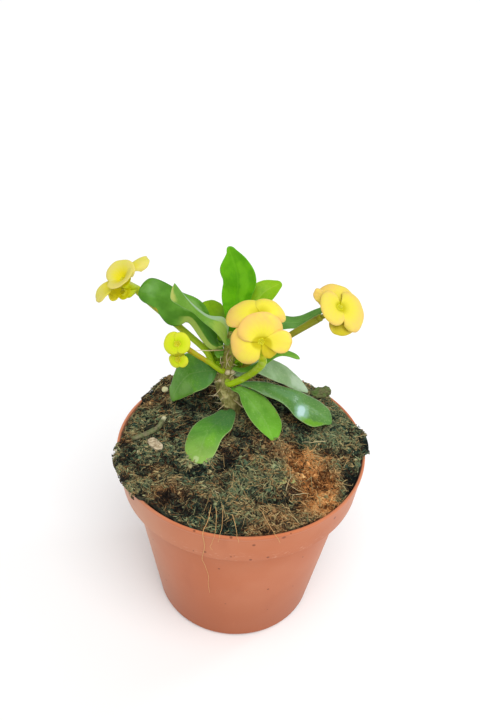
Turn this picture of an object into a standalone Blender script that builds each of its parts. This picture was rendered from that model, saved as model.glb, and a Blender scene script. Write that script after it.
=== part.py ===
"""Potted crown of thorns: a young thorny plant with yellow blooms, in a round nursery pot of soil.

Sizes are in millimetres, in the pot's own frame: the origin is the centre of the pot's underside,
+Z is up, and -Y is the side that the plant's front blooms face. MM turns them into Blender's metres.
"""

import math
import random
from typing import NamedTuple

import bmesh
import bpy
import numpy as np
from mathutils import Vector
from mathutils.bvhtree import BVHTree

MM = 0.001

# The pot: a thin tapered plastic shell with a wide collar round its top.
POT_HEIGHT = 98.0
RIM_RADIUS = 60.0
COLLAR_HEIGHT = 17.5
COLLAR_FOOT_RADIUS = 58.0
BODY_TOP_RADIUS = 53.5
BASE_RADIUS = 41.0
BASE_CORNER = 2.5
WALL = 1.2
FLOOR = 3.2
FOOT_PAD_RADIUS = 10.0
FOOT_RING_WIDTH = 6.0
RECESS_DEPTH = 1.7
FEET = 8
FOOT_BEARING = -103.0
FOOT_SHARE = 0.5
NOTCH_HEIGHT = 1.2
POT_SEGMENTS = 56
DRAIN_COUNT = 8
DRAIN_RADIUS = 3.5
DRAIN_CIRCLE = 25.0

# Pieces of the plant and the pot stand this far apart where one is seated on another.
SEAT_GAP = 0.3

# The soil: it fills the pot, its top is a low lumpy mound, and it hangs over the rim at two places.
# Each edge swell is (bearing in degrees, half-width in degrees, height over the rim's level).
SOIL_MOUND = 5.2
SOIL_EDGE = -1.6
SOIL_EDGE_SWELLS = (
    (-154.0, 27.0, 4.2),
    (136.0, 15.0, 6.0),
    (90.0, 30.0, 2.0),
    (45.0, 10.0, 2.4),
    (4.0, 17.0, 3.6),
    (-34.0, 15.0, -3.0),
)
# Each overhang is (bearing, half-width, how far the soil reaches beyond the pot's inner wall).
SOIL_OVERHANGS = ((-150.0, 22.0, 3.5), (4.0, 18.0, 3.8))
SOIL_HOLLOWS = ((-19.0, 17.0, 5.5, -2.6), (9.0, 22.0, 5.0, -1.6), (34.0, -24.0, 9.0, -1.2))
SOIL_COLUMNS = 48
SOIL_RINGS = 11
SOIL_LUMPS = 70
SOIL_SEED = 11

# The stem: a stout woody foot, which narrows to a slim green-brown crown.
# Each station is (x, y, z, radius).
STEM_STATIONS = (
    (-5.0, 16.0, 84.0, 4.0),
    (-5.0, 16.0, 100.0, 4.0),
    (-5.1, 16.0, 105.0, 4.2),
    (-5.9, 15.6, 111.5, 4.8),
    (-7.9, 15.2, 118.0, 5.0),
    (-9.6, 15.0, 123.0, 4.5),
    (-9.7, 15.0, 127.5, 4.0),
    (-9.0, 15.0, 132.0, 3.3),
    (-8.5, 15.0, 135.0, 2.8),
    (-8.0, 15.5, 142.0, 2.4),
    (-7.8, 16.0, 149.0, 2.0),
    (-7.7, 16.1, 151.5, 0.9),
)
STEM_SIDES = 12
STEM_RINGS = 22
STEM_RIDGE = 0.05
STEM_HOLE_RADIUS = 4.6
THORN_COUNT = 58
THORN_RADIUS = 0.4
THORN_SIDES = 3
THORN_SEED = 5
# Thorns stand from THORN_FOOT upwards over THORN_SPAN; those over THORN_SHORT_ABOVE are shorter by a share.
THORN_FOOT = 106.5
THORN_SPAN = 42.0
THORN_LENGTHS = (3.6, 6.4)
THORN_TILTS = (-0.25, 0.45)
THORN_SHORT_ABOVE = 131.0
THORN_SHORT_SHARE = 0.7
# How much longer and thicker than its thorn the body is that tries whether the thorn has room.
THORN_ROOM = (1.0, 0.45)
# Scar knobs on the bark, as (bearing, height, radius).
KNOBS = ((-72.0, 131.0, 1.15), (-22.0, 130.2, 1.0), (-120.0, 126.0, 0.9))
GOLDEN_ANGLE = 137.5

LEAF_STEPS = 12
LEAF_STRIPS = 4
LEAF_WIDTH_STATIONS = (0.1, 0.28, 0.46, 0.64, 0.82, 0.95)
LEAF_LEAST_HALF_WIDTH = 0.15
LEAF_MARGIN_THICKNESS = 0.62
LEAF_RIB_THICKNESS = 0.9
PETIOLE_HALF_WIDTH = 1.0
PETIOLE_THICKNESS = 1.5
PETIOLE_REACH = 2.4

BRACT_STEPS = 4
BRACT_SPOKES = 8
BRACT_THICKNESS = 0.62
# How much shorter a bract is at its two sides, and how high its ruffle stands, as shares of its length.
BRACT_ROUNDING = 0.42
BRACT_RUFFLE = 0.055
CUP_RADIUS = 1.7
CUP_HEIGHT = 2.8
CUP_SIDES = 10
CUP_LOBE = 0.16
# A pedicel's radius as a share of its stalk's.
PEDICEL_SHARE = 0.72


class Leaf(NamedTuple):
    """One leaf: where it leaves the stem, the course of its midrib and the form of its blade.

    The left and right half-widths are those at LEAF_WIDTH_STATIONS, as shares of the rib's length.
    """

    name: str
    azimuth: float
    height: float
    course: tuple
    left: tuple
    right: tuple
    bluntness: float
    face: tuple
    tip_face: tuple
    fold: float
    wave: float


class Cyathium(NamedTuple):
    """One flower cup: its place, the way it looks, and its petal-like bracts.

    Each bract is (bearing about the cup, length, lean at its root, curl along it, spread to either side).
    """

    centre: tuple
    looks: tuple
    bracts: tuple


class Bloom(NamedTuple):
    """A cluster of cups on one green stalk."""

    name: str
    azimuth: float
    height: float
    course: tuple
    radius: float
    cups: tuple


LEAVES = (
    Leaf("leaf_upright", 80, 147.8,
         ((-5.3, 21.8, 157.3), (-5.5, 25.2, 166.0), (-5.8, 28.4, 174.7), (-10.4, 32.8, 187.0)),
         (3.4, 5.6, 7.1, 6.7, 7.1, 2.1), (3.3, 5.2, 6.5, 8.2, 6.2, 3.6), 14,
         (0.1, -0.85, 0.5), (0.1, -0.85, 0.5), 0.14, 0.8),
    Leaf("leaf_back_right", 42, 145.0,
         ((1.2, 25.2, 157.2), (6.8, 30.9, 164.5), (15.1, 36.6, 167.1)),
         (2.9, 4.7, 6.1, 6.6, 5.4, 3.7), (2.9, 4.6, 5.8, 6.0, 5.2, 3.6), 8,
         (-0.2, -0.75, 0.65), (-0.2, -0.75, 0.65), 0.1, 0.4),
    Leaf("leaf_back_left", 128, 145.0,
         ((-13.1, 25.0, 151.8), (-17.5, 30.5, 154.8), (-18.9, 35.8, 156.0)),
         (2.2, 3.4, 4.3, 4.8, 5.0, 5.4), (2.3, 3.5, 4.4, 5.0, 5.2, 5.0), 8,
         (0.0, -0.6, 0.8), (0.0, -0.6, 0.8), 0.1, 0.3),
    Leaf("leaf_left_broad", 196, 145.8,
         ((-15.9, 10.7, 151.4), (-23.6, 13.7, 162.7), (-32.2, 13.2, 167.1), (-42.6, 12.0, 172.3), (-49.1, 13.5, 172.9)),
         (3.6, 4.6, 5.7, 9.5, 5.0, 5.3), (2.4, 3.4, 5.6, 6.2, 7.5, 8.7), 14,
         (0.1, -0.7, 0.7), (0.05, -0.75, 0.65), -0.12, 0.4),
    Leaf("leaf_left_folded", 250, 149.4,
         ((-12.6, 7.3, 158.5), (-23.1, 4.0, 169.5), (-31.9, 2.5, 184.5)),
         (2.6, 2.9, 1.7, 1.1, 5.2, 10.4), (4.9, 6.2, 2.9, 1.9, 0.8, 0.3), 7,
         (0.5, -0.42, 0.75), (0.35, -0.6, 0.72), 0.16, 0.2),
    Leaf("leaf_right_back", 22, 140.5,
         ((6.8, 22.8, 150.4), (16.9, 25.8, 151.7), (25.6, 28.5, 151.2), (36.5, 31.6, 157.7)),
         (2.5, 3.8, 4.7, 5.1, 4.5, 3.6), (2.5, 3.7, 4.7, 5.6, 4.2, 3.3), 8,
         (0.0, -0.08, 1.0), (0.0, -0.05, 1.0), 0.05, 0.5),
    Leaf("leaf_right_short", -35, 133.6,
         ((0.0, 10.8, 134.4), (6.9, 11.0, 137.6), (16.2, 13.8, 141.4), (25.5, 15.7, 138.7)),
         (1.3, 1.6, 2.0, 2.8, 4.3, 5.2), (1.5, 1.8, 1.5, 0.3, 0.3, 1.1), 5,
         (0.0, -0.06, 1.0), (0.25, -0.3, 1.0), -0.05, 0.3),
    Leaf("leaf_left_low", 196, 130.5,
         ((-19.0, 13.4, 130.1), (-26.4, 15.4, 126.1), (-31.4, 17.1, 118.2), (-35.6, 18.3, 107.2)),
         (6.6, 9.1, 9.3, 7.4, 4.8, 2.5), (4.3, 9.0, 12.1, 7.8, 5.7, 7.5), 14,
         (-0.2, -0.55, 0.8), (-0.5, -0.5, 0.65), -0.08, 0.5),
    Leaf("leaf_front_left", 265, 110.0,
         ((-9.7, 3.4, 109.6), (-16.6, -6.9, 108.4), (-20.1, -21.0, 103.0)),
         (3.8, 7.1, 7.6, 7.6, 6.9, 5.3), (3.8, 5.9, 7.8, 8.4, 7.8, 5.5), 26,
         (-0.1, -0.3, 1.0), (-0.2, -0.35, 0.9), -0.06, 0.3),
    Leaf("leaf_front_right", -50, 123.0,
         ((-0.4, 10.1, 120.3), (9.3, 3.9, 111.6), (15.3, -4.4, 103.8)),
         (1.4, 4.9, 8.0, 9.0, 9.5, 8.0), (0.9, 4.1, 6.3, 6.9, 5.3, 2.6), 6,
         (0.4, -0.3, 0.85), (0.4, -0.4, 0.8), 0.06, 0.2),
    Leaf("leaf_right_long", -6, 123.8,
         ((8.2, 15.8, 121.3), (22.6, 13.5, 117.6), (30.6, 12.3, 112.6), (44.1, 11.2, 104.1)),
         (0.8, 3.1, 4.1, 6.8, 8.5, 8.0), (2.1, 4.4, 5.4, 8.8, 8.5, 3.4), 22,
         (0.1, -0.2, 1.0), (0.5, -0.3, 0.8), -0.1, 0.4),
    Leaf("leaf_right_high", 20, 127.0,
         ((5.6, 21.3, 129.4), (17.0, 25.1, 123.1), (25.7, 28.4, 115.1), (32.8, 30.4, 107.4)),
         (3.1, 4.8, 5.5, 5.5, 4.3, 2.9), (3.0, 4.8, 5.7, 5.6, 4.5, 2.9), 8,
         (-0.1, -0.35, 0.95), (0.3, -0.35, 0.8), -0.06, 0.3),
)

BLOOMS = (
    Bloom("left", 196, 134.0,
          ((-18.7, 14.2, 141.6), (-26.4, 16.2, 148.3), (-42.6, 18.4, 162.2), (-49.6, 17.4, 170.6)), 1.5, (
        Cyathium((-56.7, 13.7, 179.6), (-0.43, -0.19, 0.88),
                 ((106, 15.3, 11, 36, 26), (279, 14.8, 8, 25, 30))),
        Cyathium((-55.0, 10.4, 180.0), (-0.34, -0.38, 0.86),
                 ((137, 9.5, 48, 41, 102), (-24, 11.3, 63, 41, 88))),
        Cyathium((-55.0, 10.1, 174.3), (-0.55, -0.59, 0.59),
                 ((211, 7.8, 32, 21, 55),)),
    )),
    Bloom("front", -72, 127.6,
          ((-0.2, 7.0, 132.4), (4.4, 3.5, 139.4), (7.4, 0.4, 146.2), (7.2, -1.2, 150.6)), 1.6, (
        Cyathium((6.0, -7.9, 164.1), (0.05, -0.9, 0.43),
                 ((199, 14.0, 14, 53, 68), (2, 13.4, 33, 43, 38), (97, 13.4, 30, 38, 84),
                  (-44, 8.8, 8, 27, 42))),
        Cyathium((5.3, -2.4, 173.9), (0.05, -0.24, 0.97),
                 ((131, 17.4, 8, 65, 61), (51, 17.6, 17, 87, 55))),
    )),
    Bloom("right", -2, 131.6,
          ((7.5, 15.4, 141.4), (19.8, 15.9, 151.6), (31.6, 15.9, 161.2)), 1.4, (
        Cyathium((39.8, 9.7, 171.8), (0.39, -0.42, 0.82),
                 ((161, 10.7, 38, 66, 97), (-33, 14.9, 24, 64, 75))),
        Cyathium((39.7, 12.1, 169.6), (0.15, -0.6, 0.79),
                 ((83, 13.5, 12, 49, 73), (-87, 12.4, 15, 25, 48), (142, 13.8, 29, 25, 20))),
    )),
    Bloom("small", 250, 133.4,
          ((-16.4, 7.4, 139.6), (-22.0, 4.6, 145.8), (-26.2, 2.4, 150.6)), 1.1, (
        Cyathium((-30.5, -1.0, 155.7), (-0.06, -0.84, 0.54),
                 ((180, 6.7, 24, 65, 99), (20, 6.0, 32, 56, 107))),
        Cyathium((-30.2, -0.8, 147.1), (-0.22, -0.92, 0.33),
                 ((219, 5.1, 24, 61, 70), (-15, 4.8, 29, 56, 70))),
    )),
)

COLOURS = {
    "pot": ((0.72, 0.28, 0.15, 1.0), 0.55),
    "soil": ((0.07, 0.07, 0.045, 1.0), 1.0),
    "bark": ((0.30, 0.22, 0.13, 1.0), 0.9),
    "leaf": ((0.08, 0.28, 0.04, 1.0), 0.4),
    "stalk": ((0.35, 0.42, 0.03, 1.0), 0.5),
    "bract": ((0.90, 0.72, 0.10, 1.0), 0.6),
    "litter": ((0.45, 0.33, 0.20, 1.0), 0.9),
}


def clear_scene():
    """Removes every object that the file starts with."""
    for obj in list(bpy.data.objects):
        bpy.data.objects.remove(obj, do_unlink=True)


def finish_material(kind, name):
    """A Principled material of one kind's colour and roughness, for one object alone."""
    colour, roughness = COLOURS[kind]
    material = bpy.data.materials.new(name)
    material.use_nodes = True
    shader = material.node_tree.nodes["Principled BSDF"]
    shader.inputs["Base Color"].default_value = colour
    shader.inputs["Roughness"].default_value = roughness
    shader.inputs["Metallic"].default_value = 0.0
    return material


def add_object(name, points, faces, kind):
    """Links a mesh object from points in millimetres; points may be any sequence of triples."""
    mesh = bpy.data.meshes.new(name)
    mesh.from_pydata([tuple(float(c) * MM for c in p) for p in points], [], [tuple(f) for f in faces])
    mesh.validate()
    obj = bpy.data.objects.new(name, mesh)
    bpy.context.scene.collection.objects.link(obj)
    mesh.materials.append(finish_material(kind, name))
    mesh.shade_smooth()
    mesh.set_sharp_from_angle(angle=math.radians(40))
    return obj


def unit(vector):
    """The vector at length one."""
    vector = np.asarray(vector, float)
    return vector / np.linalg.norm(vector)


def smooth_path(points, shares):
    """Points at the given shares of a Catmull-Rom curve through all the points."""
    knots = np.asarray(points, float)
    knots = np.vstack([2 * knots[0] - knots[1], knots, 2 * knots[-1] - knots[-2]])
    spans = len(knots) - 3
    lengths = np.linalg.norm(np.diff(knots[1:-1], axis=0), axis=1)
    ends = np.concatenate([[0], np.cumsum(lengths)]) / lengths.sum()
    found = []
    for share in shares:
        span = min(int(np.searchsorted(ends, share, side="right")) - 1, spans - 1)
        t = (share - ends[span]) / (ends[span + 1] - ends[span])
        a, b, c, d = knots[span:span + 4]
        found.append(0.5 * (2 * b + (c - a) * t + (2 * a - 5 * b + 4 * c - d) * t ** 2
                            + (3 * b - a - 3 * c + d) * t ** 3))
    return np.array(found)


def tangents_of(path):
    """Unit directions along a path, by central differences."""
    steps = np.gradient(path, axis=0)
    return steps / np.linalg.norm(steps, axis=1)[:, None]


def blade_faces(rows, columns):
    """Triangles of a closed blade: an upper grid, a lower grid after it, and the band between them.

    Both grids are split along the same diagonals, so that a waved blade never crosses itself.
    """
    lower = rows * columns
    faces = []
    for i in range(rows - 1):
        for j in range(columns - 1):
            a, b = i * columns + j, i * columns + j + 1
            c, d = a + columns, b + columns
            faces += [(a, b, d), (a, d, c)]
            faces += [(lower + a, lower + d, lower + b), (lower + a, lower + c, lower + d)]
    loop = [j for j in range(columns)]
    loop += [i * columns + columns - 1 for i in range(1, rows)]
    loop += [(rows - 1) * columns + j for j in range(columns - 2, -1, -1)]
    loop += [i * columns for i in range(rows - 2, 0, -1)]
    for a, b in zip(loop, loop[1:] + loop[:1]):
        faces += [(a, lower + a, lower + b), (a, lower + b, b)]
    return faces


def tube_mesh(path, radii, sides, turn=0.0):
    """A closed tube along a path, with one radius for each of its points and flat ends."""
    tangents = tangents_of(path)
    across = unit(np.cross(tangents[0], (0.31, 0.22, 0.93)))
    points, faces = [], []
    for centre, tangent, radius in zip(path, tangents, radii):
        across = unit(across - tangent * (across @ tangent))
        along = np.cross(tangent, across)
        for k in range(sides):
            angle = turn + 2 * math.pi * k / sides
            points.append(centre + radius * (math.cos(angle) * across + math.sin(angle) * along))
    for i in range(len(path) - 1):
        for k in range(sides):
            a, b = i * sides + k, i * sides + (k + 1) % sides
            faces.append((a, b, b + sides, a + sides))
    last = (len(path) - 1) * sides
    faces.append(tuple(reversed(range(sides))))
    faces.append(tuple(range(last, last + sides)))
    return points, faces


def fuse(name, parts, kind):
    """One object from overlapping (points, faces) parts, joined by a Boolean union."""
    first = add_object(name, *parts[0], kind)
    others = bpy.data.collections.new(name + "_parts")
    bpy.context.scene.collection.children.link(others)
    for number, part in enumerate(parts[1:]):
        piece = add_object(f"{name}_part_{number}", *part, kind)
        bpy.context.scene.collection.objects.unlink(piece)
        others.objects.link(piece)
    union = first.modifiers.new("union", "BOOLEAN")
    union.operation = "UNION"
    union.operand_type = "COLLECTION"
    union.collection = others
    graph = bpy.context.evaluated_depsgraph_get()
    joined = bpy.data.meshes.new_from_object(first.evaluated_get(graph))
    own_material = first.data.materials[0]
    first.modifiers.clear()
    first.data = joined
    joined.materials.clear()
    joined.materials.append(own_material)
    for piece in list(others.objects):
        bpy.data.objects.remove(piece, do_unlink=True)
    bpy.data.collections.remove(others)
    return first


def stem_at(height):
    """The stem's centre and radius at one height."""
    stations = np.array(STEM_STATIONS)
    centre = np.array([np.interp(height, stations[:, 2], stations[:, axis]) for axis in range(2)] + [height])
    return centre, float(np.interp(height, stations[:, 2], stations[:, 3]))


def seat_on_stem(azimuth, height, reach):
    """Two points that start a leaf or stalk: just off the stem's bark, and a little further out."""
    centre, radius = stem_at(height)
    outward = np.array([math.cos(math.radians(azimuth)), math.sin(math.radians(azimuth)), 0.0])
    start = centre + outward * (radius * (1 + STEM_RIDGE) + 2.4 * SEAT_GAP)
    return start, start + outward * reach + np.array([0.0, 0.0, 0.1 * reach])


def pot_inner_radius(height):
    """The radius of the pot's inner wall at a height above its floor."""
    ledge = POT_HEIGHT - COLLAR_HEIGHT
    if height > ledge + WALL:
        share = (height - ledge) / COLLAR_HEIGHT
        return COLLAR_FOOT_RADIUS + (RIM_RADIUS - COLLAR_FOOT_RADIUS) * share - WALL
    share = (height - BASE_CORNER) / (ledge - BASE_CORNER)
    return BASE_RADIUS + (BODY_TOP_RADIUS - BASE_RADIUS) * share - WALL


def revolve(profile, segments):
    """A closed body of revolution from a profile of (radius, height) whose two ends lie on the axis."""
    points = [(0.0, 0.0, profile[0][1])]
    for radius, height in profile[1:-1]:
        for k in range(segments):
            angle = 2 * math.pi * k / segments
            points.append((radius * math.cos(angle), radius * math.sin(angle), height))
    points.append((0.0, 0.0, profile[-1][1]))
    faces = []
    rings = len(profile) - 2
    for k in range(segments):
        following = (k + 1) % segments
        faces.append((0, 1 + following, 1 + k))
        for ring in range(rings - 1):
            a, b = 1 + ring * segments + k, 1 + ring * segments + following
            faces.append((a, b, b + segments, a + segments))
        last = 1 + (rings - 1) * segments
        faces.append((len(points) - 1, last + k, last + following))
    return points, faces


def raised_between_feet(point):
    """The foot ring's underside stands on low feet: a point between two of them is raised."""
    x, y, z = point
    turn = ((math.degrees(math.atan2(y, x)) - FOOT_BEARING) * FEET / 360 + 0.5) % 1 - 0.5
    on_ring = math.hypot(x, y) > BASE_RADIUS - FOOT_RING_WIDTH - RECESS_DEPTH
    if on_ring and abs(turn) > 0.5 * FOOT_SHARE:
        z = max(z, NOTCH_HEIGHT)
    return x, y, z


def make_pot():
    """The pot: one thin shell with a rolled lip, a collar, a rounded foot on feet, and drainage holes."""
    ledge = POT_HEIGHT - COLLAR_HEIGHT
    lip = 0.35
    profile = [
        (0.0, 0.0),
        (FOOT_PAD_RADIUS, 0.0),
        (FOOT_PAD_RADIUS + RECESS_DEPTH, RECESS_DEPTH),
        (BASE_RADIUS - FOOT_RING_WIDTH - RECESS_DEPTH, RECESS_DEPTH),
        (BASE_RADIUS - FOOT_RING_WIDTH, 0.0),
        (BASE_RADIUS - BASE_CORNER, 0.0),
        (BASE_RADIUS - 0.3 * BASE_CORNER, 0.3 * BASE_CORNER),
        (BASE_RADIUS, BASE_CORNER),
        (BODY_TOP_RADIUS, ledge),
        (COLLAR_FOOT_RADIUS, ledge),
        (RIM_RADIUS, POT_HEIGHT - lip),
        (RIM_RADIUS - lip, POT_HEIGHT),
        (RIM_RADIUS - WALL + lip, POT_HEIGHT),
        (RIM_RADIUS - WALL, POT_HEIGHT - lip),
        (COLLAR_FOOT_RADIUS - WALL, ledge + WALL),
        (BODY_TOP_RADIUS - WALL, ledge + WALL),
        (pot_inner_radius(FLOOR), FLOOR),
        (0.0, FLOOR),
    ]
    points, faces = revolve(profile, POT_SEGMENTS)
    pot = add_object("pot", [raised_between_feet(p) for p in points], faces, "pot")
    drill = bmesh.new()
    for k in range(DRAIN_COUNT):
        made = bmesh.ops.create_cone(drill, cap_ends=True, segments=10, radius1=DRAIN_RADIUS * MM,
                                     radius2=DRAIN_RADIUS * MM, depth=4 * FLOOR * MM)
        angle = 2 * math.pi * k / DRAIN_COUNT
        place = Vector((math.cos(angle), math.sin(angle), 0.0)) * DRAIN_CIRCLE * MM
        bmesh.ops.translate(drill, vec=place, verts=made["verts"])
    mesh = bpy.data.meshes.new("drain_holes")
    drill.to_mesh(mesh)
    drill.free()
    cutter = bpy.data.objects.new("drain_holes", mesh)
    bpy.context.scene.collection.objects.link(cutter)
    cutter.hide_render = True
    cutter.display_type = "WIRE"
    cut = pot.modifiers.new("drainage", "BOOLEAN")
    cut.operation = "DIFFERENCE"
    cut.object = cutter


def soil_lumps():
    """Seeded lumps of the soil's top, as rows of x, y, width and height."""
    draw = random.Random(SOIL_SEED)
    rows = []
    for _ in range(SOIL_LUMPS):
        reach = 54.0 * math.sqrt(draw.random())
        angle = draw.uniform(0.0, 2 * math.pi)
        rows.append((reach * math.cos(angle), reach * math.sin(angle), draw.uniform(3.0, 6.0),
                     draw.uniform(-1.5, 2.0)))
    return np.array(rows)


def swell_at(bearing, centre, half_width):
    """A smooth swell of height one about a bearing, in degrees."""
    off = (bearing - centre + 180) % 360 - 180
    return math.exp(-(off / half_width) ** 2)


def soil_edge(bearing):
    """How far the soil's edge stands above the rim's level, round the pot."""
    return SOIL_EDGE + sum(height * swell_at(bearing, at, wide) for at, wide, height in SOIL_EDGE_SWELLS)


def soil_height(x, y, lumps):
    """The height of the soil's top: a mound over the rim's level, its edge, and the lumps on it."""
    reach = math.hypot(x, y) / (RIM_RADIUS - WALL)
    edge = soil_edge(math.degrees(math.atan2(y, x))) * reach ** 3
    bumps = lumps[:, 3] * np.exp(-((lumps[:, 0] - x) ** 2 + (lumps[:, 1] - y) ** 2) / lumps[:, 2] ** 2)
    calm = max(0.0, 1 - reach ** 8)
    return POT_HEIGHT + edge + SOIL_MOUND * (1 - min(reach, 1.0) ** 2) + float(bumps.sum()) * calm


def soil_reaches(bearings, wall_top):
    """The radius of the soil's edge at each bearing: it leaves the wall only where it clears the rim."""
    reach = np.array([sum(far * swell_at(b, at, wide) for at, wide, far in SOIL_OVERHANGS) for b in bearings])
    level = np.array([soil_edge(b) for b in bearings])
    reach[(level < 0.9) | (reach < 0.4)] = 0.0
    beside_none = (np.roll(reach, 1) == 0) | (np.roll(reach, -1) == 0)
    reach[beside_none] = np.minimum(reach[beside_none], 0.4)
    return wall_top + reach, reach > 0


def make_soil():
    """The soil: a plug that follows the pot's inside, with a lumpy top and a plain hole for the stem."""
    lumps = np.vstack([soil_lumps(), SOIL_HOLLOWS])
    foot, _ = stem_at(STEM_STATIONS[1][2])
    pit = STEM_STATIONS[0][2] - SEAT_GAP
    ledge = POT_HEIGHT - COLLAR_HEIGHT
    wall_top = RIM_RADIUS - WALL - 2.5 * SEAT_GAP
    over_rim = POT_HEIGHT + 1.2 * SEAT_GAP
    bearings = [360 * k / SOIL_COLUMNS - 180 for k in range(SOIL_COLUMNS)]
    turns = [np.array([math.cos(math.radians(b)), math.sin(math.radians(b))]) for b in bearings]
    reaches, hangs = soil_reaches(bearings, wall_top)
    sides = [
        (pot_inner_radius(FLOOR) - 2 * SEAT_GAP, FLOOR + SEAT_GAP),
        (BODY_TOP_RADIUS - WALL - 2 * SEAT_GAP, ledge + WALL + SEAT_GAP),
        (COLLAR_FOOT_RADIUS - WALL - 2 * SEAT_GAP, ledge + WALL + 1.5 * SEAT_GAP),
    ]
    points = [(0.0, 0.0, FLOOR + SEAT_GAP)]
    for radius, height in sides:
        points += [(*(turn * radius), height) for turn in turns]
    edge = [POT_HEIGHT + soil_edge(b) for b in bearings]
    for drop, out in ((1.5, 0.0), (1.0, 1.0), (0.5, 1.06)):
        for turn, reach, hang, top in zip(turns, reaches, hangs, edge):
            height = over_rim + (1.0 - drop if drop < 1 else 0.0) if hang else top - drop
            radius = wall_top + (reach - wall_top) * out
            if not hang:
                radius = min(wall_top, pot_inner_radius(height) - 2.5 * SEAT_GAP)
            points.append((*(turn * radius), height))
    for ring in range(SOIL_RINGS + 1):
        share = ring / SOIL_RINGS
        for turn, reach in zip(turns, reaches):
            outer = turn * (reach - 0.5)
            x, y = outer * (1 - share) + (foot[:2] + turn * STEM_HOLE_RADIUS) * share
            points.append((x, y, soil_height(x, y, lumps)))
    points += [(*(foot[:2] + turn * STEM_HOLE_RADIUS), pit) for turn in turns]
    points.append((foot[0], foot[1], pit))
    loops = (len(points) - 2) // SOIL_COLUMNS
    faces = []
    for k in range(SOIL_COLUMNS):
        following = (k + 1) % SOIL_COLUMNS
        faces.append((0, 1 + following, 1 + k))
        for loop in range(loops - 1):
            a, b = 1 + loop * SOIL_COLUMNS + k, 1 + loop * SOIL_COLUMNS + following
            faces += [(a, b, b + SOIL_COLUMNS), (a, b + SOIL_COLUMNS, a + SOIL_COLUMNS)]
        last = 1 + (loops - 1) * SOIL_COLUMNS
        faces.append((len(points) - 1, last + k, last + following))
    return add_object("soil", points, faces, "soil")


def half_widths(side, bluntness, shares):
    """One side's half-width at shares of the rib: a curve through its stations, rounded off at the tip."""
    knots = [(0.0, PETIOLE_HALF_WIDTH), *zip(LEAF_WIDTH_STATIONS, side), (1.0, side[-1])]
    curve = smooth_path(knots, np.linspace(0, 1, 90))
    rounding = np.sqrt(1 - shares ** bluntness)
    return np.interp(shares, curve[:, 0], curve[:, 1]) * rounding + LEAF_LEAST_HALF_WIDTH


def leaf_mesh(leaf):
    """A leaf as a closed blade, folded or arched along its rib, with waved margins."""
    start, second = seat_on_stem(leaf.azimuth, leaf.height, PETIOLE_REACH)
    shares = np.sin(0.5 * math.pi * np.linspace(0, 1, LEAF_STEPS + 1))
    path = smooth_path([start, second, *leaf.course], shares)
    tangents = tangents_of(path)
    left, right = (half_widths(side, leaf.bluntness, shares) for side in (leaf.left, leaf.right))
    fullest = max(*leaf.left, *leaf.right)
    upper, lower = [], []
    for share, centre, tangent, left_half, right_half in zip(shares, path, tangents, left, right):
        face = (1 - share) * unit(leaf.face) + share * unit(leaf.tip_face)
        normal = unit(face - tangent * (face @ tangent))
        across = np.cross(tangent, normal)
        for v in np.linspace(-1, 1, LEAF_STRIPS + 1):
            half = left_half if v < 0 else right_half
            swell = min(half / fullest, 1.0)
            ripple = leaf.wave * swell * v * v * math.sin(2.6 * math.pi * share + 1.9 * np.sign(v))
            lift = leaf.fold * half * abs(v) ** 1.6 + ripple
            petiole = (PETIOLE_THICKNESS - LEAF_RIB_THICKNESS) * (1 - share) ** 4
            rib = LEAF_RIB_THICKNESS + petiole
            thick = LEAF_MARGIN_THICKNESS + (rib - LEAF_MARGIN_THICKNESS) * (1 - v * v)
            middle = centre + across * half * v + normal * lift
            upper.append(middle + normal * 0.5 * thick)
            lower.append(middle - normal * 0.5 * thick)
    return upper + lower, blade_faces(LEAF_STEPS + 1, LEAF_STRIPS + 1)


def frame_of(axis):
    """Two unit directions square to an axis: the second lies as near to straight up as it can."""
    axis = unit(axis)
    upright = np.array([0.0, 0.0, 1.0]) if abs(axis[2]) < 0.97 else np.array([0.0, 1.0, 0.0])
    second = unit(upright - axis * (axis @ upright))
    return np.cross(second, axis), second


def bract_mesh(cup, angle, length, lean, curl, spread):
    """A petal-like bract: a rounded fan about the cup, which leans towards its axis and curls back."""
    axis = unit(cup.looks)
    right, up = frame_of(axis)
    centre = np.array(cup.centre)
    inner = 0.55 * CUP_RADIUS
    lean, curl = math.radians(lean), math.radians(curl)
    upper, lower = [], []
    for step in range(BRACT_STEPS + 1):
        share = step / BRACT_STEPS
        slope = lean - curl * share
        run = (math.sin(lean) - math.sin(slope)) / curl
        rise = (math.cos(slope) - math.cos(lean)) / curl
        for spoke in range(BRACT_SPOKES + 1):
            turn = 2 * spoke / BRACT_SPOKES - 1
            bearing = math.radians(angle + turn * spread)
            outward = math.cos(bearing) * right + math.sin(bearing) * up
            reach = length * (1 - BRACT_ROUNDING * abs(turn) ** 3.5) - inner
            ruffle = BRACT_RUFFLE * length * share ** 2 * math.sin(3.2 * turn + math.radians(angle))
            middle = centre + outward * (inner + reach * run) + axis * (reach * rise + ruffle)
            normal = axis * math.cos(slope) - outward * math.sin(slope)
            upper.append(middle + normal * 0.5 * BRACT_THICKNESS)
            lower.append(middle - normal * 0.5 * BRACT_THICKNESS)
    faces = blade_faces(BRACT_STEPS + 1, BRACT_SPOKES + 1)
    return upper + lower, faces


def cup_mesh(cup):
    """The cup in a flower's middle: a five-lobed mouth with a dimple inside it."""
    axis = unit(cup.looks)
    right, up = frame_of(axis)
    profile = ((0.0, -1.6), (0.55, -1.6), (0.95, -0.4), (1.0, 0.5), (0.8, CUP_HEIGHT / CUP_RADIUS - 0.9),
               (0.45, 0.35), (0.0, 0.2))
    points, faces = revolve([(CUP_RADIUS * r, CUP_RADIUS * h) for r, h in profile], CUP_SIDES)
    turned = []
    for x, y, z in points:
        lobe = 1 + CUP_LOBE * math.cos(5 * math.atan2(y, x)) * (z > 0)
        turned.append(np.array(cup.centre) + lobe * x * right + lobe * y * up + z * axis)
    return turned, faces


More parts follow.
